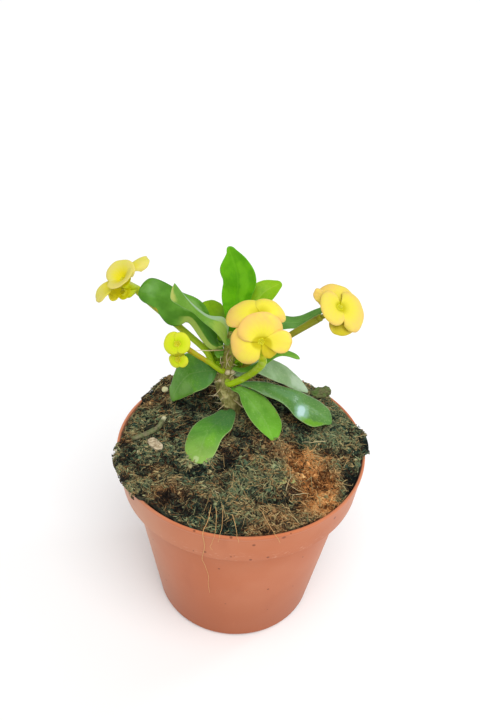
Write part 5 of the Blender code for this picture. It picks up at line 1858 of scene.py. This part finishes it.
@dataclass(frozen=True)
class Studio:
    """The pale floor, a broad soft sun with two soft lamps, and the camera at the photograph's view."""

    floor_half: float = 4000.0
    floor: Colour = (246, 246, 246)
    eye: Triple = (-2.66, -281.24, 356.12)
    pitch: float = 36.53
    roll: float = 2.87
    lens: float = 39.05
    sky: float = 0.5
    sun_from: Triple = (0.1, -0.48, 0.87)
    sun_strength: float = 2.2
    sun_spread: float = 50.0
    lamps: tuple[tuple[str, Triple, Triple, float, float, Colour], ...] = (
        ("fill", (700.0, -250.0, 230.0), (0.0, 0.0, 60.0), 500.0, 0.8, (255, 252, 248)),
        ("glint", (534.0, 246.0, 541.0), (44.0, 11.0, 104.0), 130.0, 0.6, (236, 246, 255)),
    )

    def build(self) -> None:
        """Makes the floor, the world, the lights and the camera."""
        half = self.floor_half
        corners = np.array([(-half, -half, 0), (half, -half, 0), (half, half, 0), (-half, half, 0)], float)
        floor = Surface(corners, np.array([[0, 1, 2, 3]])).object("floor")
        floor.data.materials.append(Shade("pale_floor").finished(self.floor, 0.9, 0.1))
        scene = bpy.context.scene
        world = bpy.data.worlds.new("soft_white")
        world.use_nodes = True
        background = world.node_tree.nodes["Background"]
        background.inputs["Color"].default_value = (1.0, 1.0, 1.0, 1.0)
        background.inputs["Strength"].default_value = self.sky
        scene.world = world
        sun = bpy.data.lights.new("key", "SUN")
        sun.energy = self.sun_strength
        sun.angle = math.radians(self.sun_spread)
        self.stand(sun, (0.0, 0.0, 800.0), unit(self.sun_from))
        for name, spot, aim, size, power, colour in self.lamps:
            lamp = bpy.data.lights.new(name, "AREA")
            lamp.size = size * MM
            lamp.energy = power
            lamp.color = paint(colour)[:3]
            self.stand(lamp, spot, unit(np.array(spot) - aim))
        camera = bpy.data.cameras.new("camera")
        camera.sensor_width, camera.lens = 36.0, self.lens
        camera.clip_start, camera.clip_end = 10 * MM, 20.0
        tilt = math.radians(self.pitch)
        back = np.array([0.0, -math.cos(tilt), math.sin(tilt)])
        scene.camera = self.stand(camera, self.eye, back, self.roll)
        scene.view_settings.view_transform = "Standard"
        LOG.info("studio: %d lamps", len(self.lamps))

    @staticmethod
    def stand(what: bpy.types.ID, spot: Triple, back: Floats, roll: float = 0.0) -> Object:
        """Puts a light or a camera in the scene so that it looks along -back.

        Args:
            what: The light or the camera.
            spot: Where it stands.
            back: The unit direction behind it.
            roll: How far it is rolled about its line of sight.

        Returns:
            Its object.
        """
        right = unit(np.cross([0.0, 0.0, 1.0], back))
        up = np.cross(back, right)
        turn = math.radians(roll)
        leaned = math.cos(turn) * right + math.sin(turn) * up
        raised = math.cos(turn) * up - math.sin(turn) * right
        matrix = np.eye(4)
        matrix[:3] = np.column_stack([leaned, raised, back, np.array(spot) * MM])
        held = bpy.data.objects.new(what.name, what)
        held.matrix_world = Matrix(matrix.tolist())
        bpy.context.scene.collection.objects.link(held)
        return held


FRESH = LeafFinish((72, 142, 0), (94, 166, 6), (96, 166, 8), (116, 180, 36), gloss=0.12, rib_share=0.2,
                   patches=(((64, 132, 0), 0.15, 0.0, 0.25, 1.5, 0.6),
                            ((112, 180, 26), 0.6, 0.35, 0.3, 0.3, 0.5)))
YOUNG = LeafFinish((112, 160, 0), (128, 174, 8), (132, 180, 20), (186, 206, 80), gloss=0.04)
OLIVE = LeafFinish((106, 148, 0), (122, 164, 8), (126, 168, 16), (90, 130, 20), gloss=0.04)
# BROAD: its first patch is painted shade at the base, its pale patch near the tip is a painted highlight, its
# turned half is partly painted light, and its orange patch is the leaf's own mark.
BROAD = LeafFinish((68, 120, 20), (94, 148, 44), (86, 138, 52), (56, 98, 26), 0.4, 0.14, 0.1,
                   (162, 184, 84), -1, 0.45, 0.5,
                   patches=(((62, 112, 36), 0.2, 0.2, 0.3, 0.7, 0.7),
                            ((124, 170, 96), 0.94, 0.3, 0.07, 0.4, 0.35),
                            ((136, 178, 96), 0.53, 0.3, 0.14, 0.5, 0.5),
                            ((190, 146, 30), 0.79, -1.0, 0.03, 0.12, 0.9)))
# FOLDED: its turned half is partly the underside's tint and partly painted light.
FOLDED = LeafFinish((96, 144, 42), (116, 160, 64), (98, 146, 56), (150, 180, 120), 0.3, 0.12, 0.06,
                    (150, 178, 144), 1, 0.5, 1.1,
                    patches=(((182, 184, 96), 0.95, -0.8, 0.1, 0.35, 0.8),
                             ((156, 184, 72), 0.25, -0.2, 0.2, 1.2, 0.8)))
BLUISH = LeafFinish((82, 134, 50), (98, 148, 64), (102, 152, 60), (150, 182, 110), gloss=0.12)
SHORT = LeafFinish((92, 148, 40), (112, 166, 54), (116, 174, 50), (170, 200, 110), gloss=0.08)
DEEP = LeafFinish((74, 132, 28), (96, 152, 46), (114, 168, 66), (176, 196, 130), 0.5, 0.14, 0.1,
                  patches=(((70, 120, 64), 0.1, 0.0, 0.3, 1.5, 0.6),
                           ((122, 166, 80), 0.6, -0.5, 0.2, 0.4, 0.4)))
TIPPED = LeafFinish((74, 128, 44), (92, 148, 54), (156, 188, 90), (190, 206, 140), 0.6, 0.12, 0.05,
                    patches=(((66, 112, 62), 0.1, 0.0, 0.34, 1.6, 0.8),
                             ((188, 204, 150), 0.95, 0.2, 0.05, 0.3, 0.6),
                             ((112, 170, 40), 0.66, -0.4, 0.16, 0.4, 0.5)))
BRIGHT = LeafFinish((88, 144, 40), (110, 164, 58), (116, 182, 46), (180, 206, 130), 0.6, 0.1, 0.08)
# GLOSSY: its two pale bluish patches and its bluish streak along the rib are a painted highlight; its yellow
# patch is the leaf's own colour.
GLOSSY = LeafFinish((72, 118, 50), (84, 132, 58), (76, 128, 30), (160, 188, 120), 0.4, 0.6, 0.04, flecks=0.3,
                    patches=(((150, 192, 174), 0.68, 0.5, 0.09, 0.6, 0.5),
                             ((196, 224, 230), 0.67, 0.5, 0.045, 0.4, 0.6),
                             ((96, 152, 8), 0.82, 0.85, 0.15, 0.3, 0.85),
                             ((112, 158, 116), 0.5, -0.1, 0.2, 0.6, 0.3)))
# GREYED: its pale patch near the tip is a painted highlight.
GREYED = LeafFinish((128, 162, 108), (152, 182, 136), (160, 190, 152),
                    (190, 206, 168), 0.4, 0.35, 0.08, flecks=0.25,
                    patches=(((200, 218, 194), 0.84, 0.0, 0.2, 0.9, 0.5),))


def sprout(name: str, azimuth: float, height: float, finish: LeafFinish, foot: float,
           course: tuple[Triple, ...], left: tuple[float, ...], right: tuple[float, ...] = (),
           face: Triple = (0.0, -0.6, 0.8)) -> Leaf:
    """A leaf bud that no solid stands for: its foot is a half-width, and it is even unless right is given."""
    return Leaf("sprout_" + name, azimuth, height, course, left, right or left, 6, face, face, 0.12, 0.2,
                finish, False, 30, 10, petiole_half_width=foot, petiole_thickness=0.9, rib_thickness=0.6)


LEAVES = (
    Leaf("leaf_upright", 80, 147.8,
         ((-5.3, 21.8, 157.3), (-5.5, 25.2, 166.0), (-5.8, 28.4, 174.7), (-10.4, 32.8, 187.0)),
         (3.4, 5.6, 7.1, 6.7, 7.1, 2.1), (3.3, 5.2, 6.5, 8.2, 6.2, 3.6), 14,
         (0.1, -0.85, 0.5), (0.1, -0.85, 0.5), 0.14, 0.8, FRESH),
    Leaf("leaf_back_right", 42, 145.0,
         ((1.2, 25.2, 157.2), (6.8, 30.9, 164.5), (15.1, 36.6, 167.1)),
         (2.9, 4.7, 6.1, 6.6, 5.4, 3.7), (2.9, 4.6, 5.8, 6.0, 5.2, 3.6), 8,
         (-0.2, -0.75, 0.65), (-0.2, -0.75, 0.65), 0.1, 0.4, YOUNG),
    Leaf("leaf_back_left", 128, 145.0,
         ((-13.1, 25.0, 151.8), (-17.5, 30.5, 154.8), (-18.9, 35.8, 156.0)),
         (2.2, 3.4, 4.3, 4.8, 5.0, 5.4), (2.3, 3.5, 4.4, 5.0, 5.2, 5.0), 8,
         (0.0, -0.6, 0.8), (0.0, -0.6, 0.8), 0.1, 0.3, OLIVE),
    Leaf("leaf_left_broad", 196, 145.8,
         ((-15.9, 10.7, 151.4), (-23.6, 13.7, 162.7), (-32.2, 13.2, 167.1), (-42.6, 12.0, 172.3),
          (-49.1, 13.5, 172.9)),
         (3.6, 4.6, 5.7, 9.5, 5.0, 5.3), (2.4, 3.4, 5.6, 6.2, 7.5, 8.7), 14,
         (0.1, -0.7, 0.7), (0.05, -0.75, 0.65), -0.12, 0.4, BROAD),
    Leaf("leaf_left_folded", 250, 149.4,
         ((-12.6, 7.3, 158.5), (-23.1, 4.0, 169.5), (-31.9, 2.5, 184.5)),
         (2.6, 2.9, 1.7, 1.1, 5.2, 10.4), (4.9, 6.2, 2.9, 1.9, 0.8, 0.3), 7,
         (0.5, -0.42, 0.75), (0.35, -0.6, 0.72), 0.16, 0.2, FOLDED),
    Leaf("leaf_right_back", 22, 140.5,
         ((6.8, 22.8, 150.4), (16.9, 25.8, 151.7), (25.6, 28.5, 151.2), (36.5, 31.6, 157.7)),
         (2.5, 3.8, 4.7, 5.1, 4.5, 3.6), (2.5, 3.7, 4.7, 5.6, 4.2, 3.3), 8,
         (0.0, -0.08, 1.0), (0.0, -0.05, 1.0), 0.05, 0.5, BLUISH),
    Leaf("leaf_right_short", -35, 133.6,
         ((0.0, 10.8, 134.4), (6.9, 11.0, 137.6), (16.2, 13.8, 141.4), (25.5, 15.7, 138.7)),
         (1.3, 1.6, 2.0, 2.8, 4.3, 5.2), (1.5, 1.8, 1.5, 0.3, 0.3, 1.1), 5,
         (0.0, -0.06, 1.0), (0.25, -0.3, 1.0), -0.05, 0.3, SHORT),
    Leaf("leaf_left_low", 196, 130.5,
         ((-19.0, 13.4, 130.1), (-26.4, 15.4, 126.1), (-31.4, 17.1, 118.2), (-35.6, 18.3, 107.2)),
         (6.6, 9.1, 9.3, 7.4, 4.8, 2.5), (4.3, 9.0, 12.1, 7.8, 5.7, 7.5), 14,
         (-0.2, -0.55, 0.8), (-0.5, -0.5, 0.65), -0.08, 0.5, DEEP),
    Leaf("leaf_front_left", 265, 110.0,
         ((-9.7, 3.4, 109.6), (-16.6, -6.9, 108.4), (-20.1, -21.0, 103.0)),
         (3.8, 7.1, 7.6, 7.6, 6.9, 5.3), (3.8, 5.9, 7.8, 8.4, 7.8, 5.5), 26,
         (-0.1, -0.3, 1.0), (-0.2, -0.35, 0.9), -0.06, 0.3, TIPPED),
    Leaf("leaf_front_right", -50, 123.0,
         ((-0.4, 10.1, 120.3), (9.3, 3.9, 111.6), (15.3, -4.4, 103.8)),
         (1.4, 4.9, 8.0, 9.0, 9.5, 8.0), (0.9, 4.1, 6.3, 6.9, 5.3, 2.6), 6,
         (0.4, -0.3, 0.85), (0.4, -0.4, 0.8), 0.06, 0.2, BRIGHT),
    Leaf("leaf_right_long", -6, 123.8,
         ((8.2, 15.8, 121.3), (22.6, 13.5, 117.6), (30.6, 12.3, 112.6), (44.1, 11.2, 104.1)),
         (0.8, 3.1, 4.1, 6.8, 8.5, 8.0), (2.1, 4.4, 5.4, 8.8, 8.5, 3.4), 22,
         (0.1, -0.2, 1.0), (0.5, -0.3, 0.8), -0.1, 0.4, GLOSSY),
    Leaf("leaf_right_high", 20, 127.0,
         ((5.6, 21.3, 129.4), (17.0, 25.1, 123.1), (25.7, 28.4, 115.1), (32.8, 30.4, 107.4)),
         (3.1, 4.8, 5.5, 5.5, 4.3, 2.9), (3.0, 4.8, 5.7, 5.6, 4.5, 2.9), 8,
         (-0.1, -0.35, 0.95), (0.3, -0.35, 0.8), -0.06, 0.3, GREYED),
    sprout("left", 165, 137.0, OLIVE, 1.7, ((-13.7, 17.5, 136.5), (-16.7, 18.5, 140.9), (-20.5, 19.0, 145.5)),
           (1.6, 2.6, 3.0, 2.8, 2.2, 1.4)),
    sprout("inner", 215, 141.0, SHORT, 0.7, ((-12.7, 13.5, 143.0), (-15.5, 12.5, 148.6)),
           (1.2, 1.8, 2.2, 2.2, 1.8, 1.2)),
    sprout("low", 200, 135.0, OLIVE, 1.7, ((-13.0, 15.0, 134.8), (-16.4, 16.0, 136.8)),
           (1.0, 1.5, 1.9, 1.9, 1.6, 1.1)),
    sprout("right", 10, 138.0, OLIVE, 1.7, ((-2.7, 18.5, 135.9), (1.9, 19.5, 138.4)),
           (1.3, 2.2, 2.8, 2.8, 2.2, 1.4)),
    sprout("under", -8, 137.0, YOUNG, 1.9, ((-2.6, 17.0, 132.8), (1.3, 17.5, 130.9)),
           (1.2, 1.8, 2.2, 2.2, 1.7, 1.1)),
    sprout("behind", 90, 129.0, OLIVE, 1.2, ((-9.1, 21.6, 130.4), (-8.9, 23.4, 135.2)),
           (2.6, 4.2, 5.0, 4.8, 3.6, 2.0), (2.6, 4.2, 5.2, 5.0, 3.6, 2.0), (0.0, -0.8, 0.6)),
)

SOFT_YELLOW = BractFinish((190, 176, 0), (234, 222, 62), (238, 220, 84), (238, 188, 108))
WARM_YELLOW = BractFinish((186, 176, 0), (222, 210, 60), (226, 208, 84), (232, 182, 112), 0.6)
SHARP_YELLOW = BractFinish((156, 170, 4), (194, 212, 10), (206, 216, 40), (212, 200, 70), 0.25)
PALE_YELLOW = BractFinish((220, 212, 0), (220, 208, 12), (212, 206, 90), (226, 196, 134), 0.3)

BLOOMS = (
    Bloom("left", 196, 134.0,
          ((-18.7, 14.2, 141.6), (-26.4, 16.2, 148.3), (-42.6, 18.4, 162.2), (-49.6, 17.4, 170.6)), 1.5, (
        Cyathium((-56.7, 13.7, 179.6), (-0.43, -0.19, 0.88),
                 ((106, 15.3, 11, 36, 26), (279, 14.8, 8, 25, 30))),
        Cyathium((-55.0, 10.4, 180.0), (-0.34, -0.38, 0.86),
                 ((137, 9.5, 48, 41, 102), (-24, 11.3, 63, 41, 88))),
        Cyathium((-55.0, 10.1, 174.3), (-0.55, -0.59, 0.59),
                 ((211, 7.8, 32, 21, 55),)),
    ), PALE_YELLOW, StalkFinish((154, 188, 14), (150, 166, 20), (176, 180, 24)),
       (), ((-58.2, 8.0, 173.2, 6.0),), pedicel_share=1.1),
    Bloom("front", -72, 127.6,
          ((-0.2, 7.0, 132.4), (4.4, 3.5, 139.4), (7.4, 0.4, 146.2), (7.2, -1.2, 150.6)), 1.6, (
        Cyathium((6.0, -7.9, 164.1), (0.05, -0.9, 0.43),
                 ((199, 14.0, 14, 53, 68), (2, 13.4, 33, 43, 38), (97, 13.4, 30, 38, 84),
                  (-44, 8.8, 8, 27, 42))),
        Cyathium((5.3, -2.4, 173.9), (0.05, -0.24, 0.97),
                 ((131, 17.4, 8, 65, 61), (51, 17.6, 17, 87, 55))),
    ), SOFT_YELLOW, StalkFinish((150, 186, 4), (172, 202, 30), (200, 216, 110)),
       ((2.6, -9.0, 171.0, 6.0), (-5.6, -9.0, 162.8, 4.0), (-1.8, -3.0, 179.9, 6.0), (-7.0, -3.0, 172.1, 4.0),
        (15.1, -4.0, 174.0, 4.0)),
       ((3.9, -8.2, 164.0, 2.7), (8.3, -8.2, 164.3, 2.7), (9.3, -9.0, 158.4, 4.5))),
    Bloom("right", -2, 131.6,
          ((7.5, 15.4, 141.4), (19.8, 15.9, 151.6), (31.6, 15.9, 161.2)), 1.4, (
        Cyathium((39.8, 9.7, 171.8), (0.39, -0.42, 0.82),
                 ((161, 10.7, 38, 66, 97), (-33, 14.9, 24, 64, 75))),
        Cyathium((39.7, 12.1, 169.6), (0.15, -0.6, 0.79),
                 ((83, 13.5, 12, 49, 73), (-87, 12.4, 15, 25, 48), (142, 13.8, 29, 25, 20))),
    ), WARM_YELLOW, StalkFinish((122, 124, 14), (134, 138, 28), (118, 100, 26)),
       ((48.0, 8.0, 171.2, 5.0),), ((39.8, 9.7, 171.8, 3.0), (40.9, 6.0, 162.6, 6.0)),
       StalkFinish((130, 136, 20), (166, 170, 24), (140, 120, 24))),
    Bloom("small", 250, 133.4,
          ((-16.4, 7.4, 139.6), (-22.0, 4.6, 145.8), (-26.2, 2.4, 150.6)), 1.1, (
        Cyathium((-30.5, -1.0, 155.7), (-0.06, -0.84, 0.54),
                 ((180, 6.7, 24, 65, 99), (20, 6.0, 32, 56, 107))),
        Cyathium((-30.2, -0.8, 147.1), (-0.22, -0.92, 0.33),
                 ((219, 5.1, 24, 61, 70), (-15, 4.8, 29, 56, 70))),
    ), SHARP_YELLOW, StalkFinish((150, 182, 10), (176, 170, 24), (190, 140, 30))),
)

PALE_TONES = ((0.0, (126, 104, 66)), (0.6, (186, 164, 116)), (1.0, (220, 206, 168)))
FLAKE_TONES = ((0.0, (128, 140, 84)), (0.6, (184, 184, 118)), (1.0, (214, 208, 150)))
GRIT_TONES = ((0.0, (150, 134, 96)), (0.6, (204, 192, 152)), (1.0, (232, 226, 200)))
RIM_SPOTS = (
    (-59.4, -7.7, 1.0), (-57.6, -15.8, 1.1), (-52.5, -28.8, 1.3), (-47.5, -36.8, 1.2), (-46.0, 38.0, 2.0),
    (-59.2, -20.0, 1.2), (-55.5, -24.5, 1.2), (-50.0, -33.0, 1.2), (-40.0, 42.0, 1.6), (-51.0, 30.0, 1.5),
    (56.5, 20.0, 1.2), (59.6, -1.6, 1.2), (58.0, 8.0, 1.4),
)
FLAKE_SPOTS = ((17.9, -30.6, 1.2), (23.4, -28.3, 0.9), (6.3, -17.9, 0.7), (9.1, -15.7, 0.7))

MATS = (
    FibreMat("moss_shoots", 6600, Patch.MOSS, 21, GroundFinish("moss_shoot"),
             (1.0, 3.0), (0.22, 0.42), (0.0, 0.9), (0.0, 60.0), 0.6, light=0.48),
    FibreMat("moss_strands", 5600, Patch.MOSS, 34, GroundFinish("moss_strand"),
             (1.6, 4.0), (0.17, 0.3), (0.1, 1.0), (-4.0, 34.0), 0.6, light=0.58),
    FibreMat("peat_strands", 2200, Patch.EVERYWHERE, 47, GroundFinish("peat_strand"),
             (2.0, 5.4), (0.13, 0.22), (0.3, 1.2), (-5.0, 16.0), 0.45, light=0.6),
    FibreMat("coir_fibres", 5200, Patch.COIR, 58, GroundFinish("coir_fibre"),
             (1.2, 3.4), (0.15, 0.27), (0.1, 1.0), (0.0, 35.0), 0.6, light=0.62),
    FibreMat("rim_clumps", 1700, Patch.EVERYWHERE, 65, GroundFinish("rim_clump"),
             (0.9, 2.2), (0.2, 0.36), (0.0, 0.7), (0.0, 30.0), 0.5, spots=RIM_SPOTS),
    FibreMat("straws", 70, Patch.EVERYWHERE, 63, FibreFinish("straw", PALE_TONES),
             (5.0, 13.0), (0.14, 0.24), (1.0, 2.0), (-3.0, 6.0), 0.25, outermost=57.0, steps=10, sides=5),
)

GRAINS = (
    Crumbs("peat_crumbs", 3400, Patch.EVERYWHERE, 71, GroundFinish("peat_crumb"), (0.5, 1.4), 0.7),
    Crumbs("coir_crumbs", 900, Patch.COIR, 83, GroundFinish("coir_crumb"), (0.5, 1.3), 0.7, light=0.6),
    Crumbs("pale_grit", 110, Patch.EVERYWHERE, 97, FibreFinish("grit", GRIT_TONES), (0.3, 0.8), 0.8),
    Crumbs("pale_flakes", 26, Patch.EVERYWHERE, 101, FibreFinish("flake", FLAKE_TONES), (0.9, 1.9), 0.3,
           spots=FLAKE_SPOTS),
)


def main() -> None:
    """Builds every piece in order, from the pot up, and then the studio."""
    logging.basicConfig(level=logging.INFO, format="%(name)s: %(message)s")
    Pot().build()
    soil = SoilBed()
    soil.build()
    for scattered in (*MATS, *GRAINS):
        scattered.build(soil)
    HangingRoots().build()
    Scraps().build()
    stem = WoodyStem()
    stem.build()
    for growth in (*LEAVES, *BLOOMS):
        growth.build(stem)
    Studio().build()


if __name__ == "__main__":
    main()
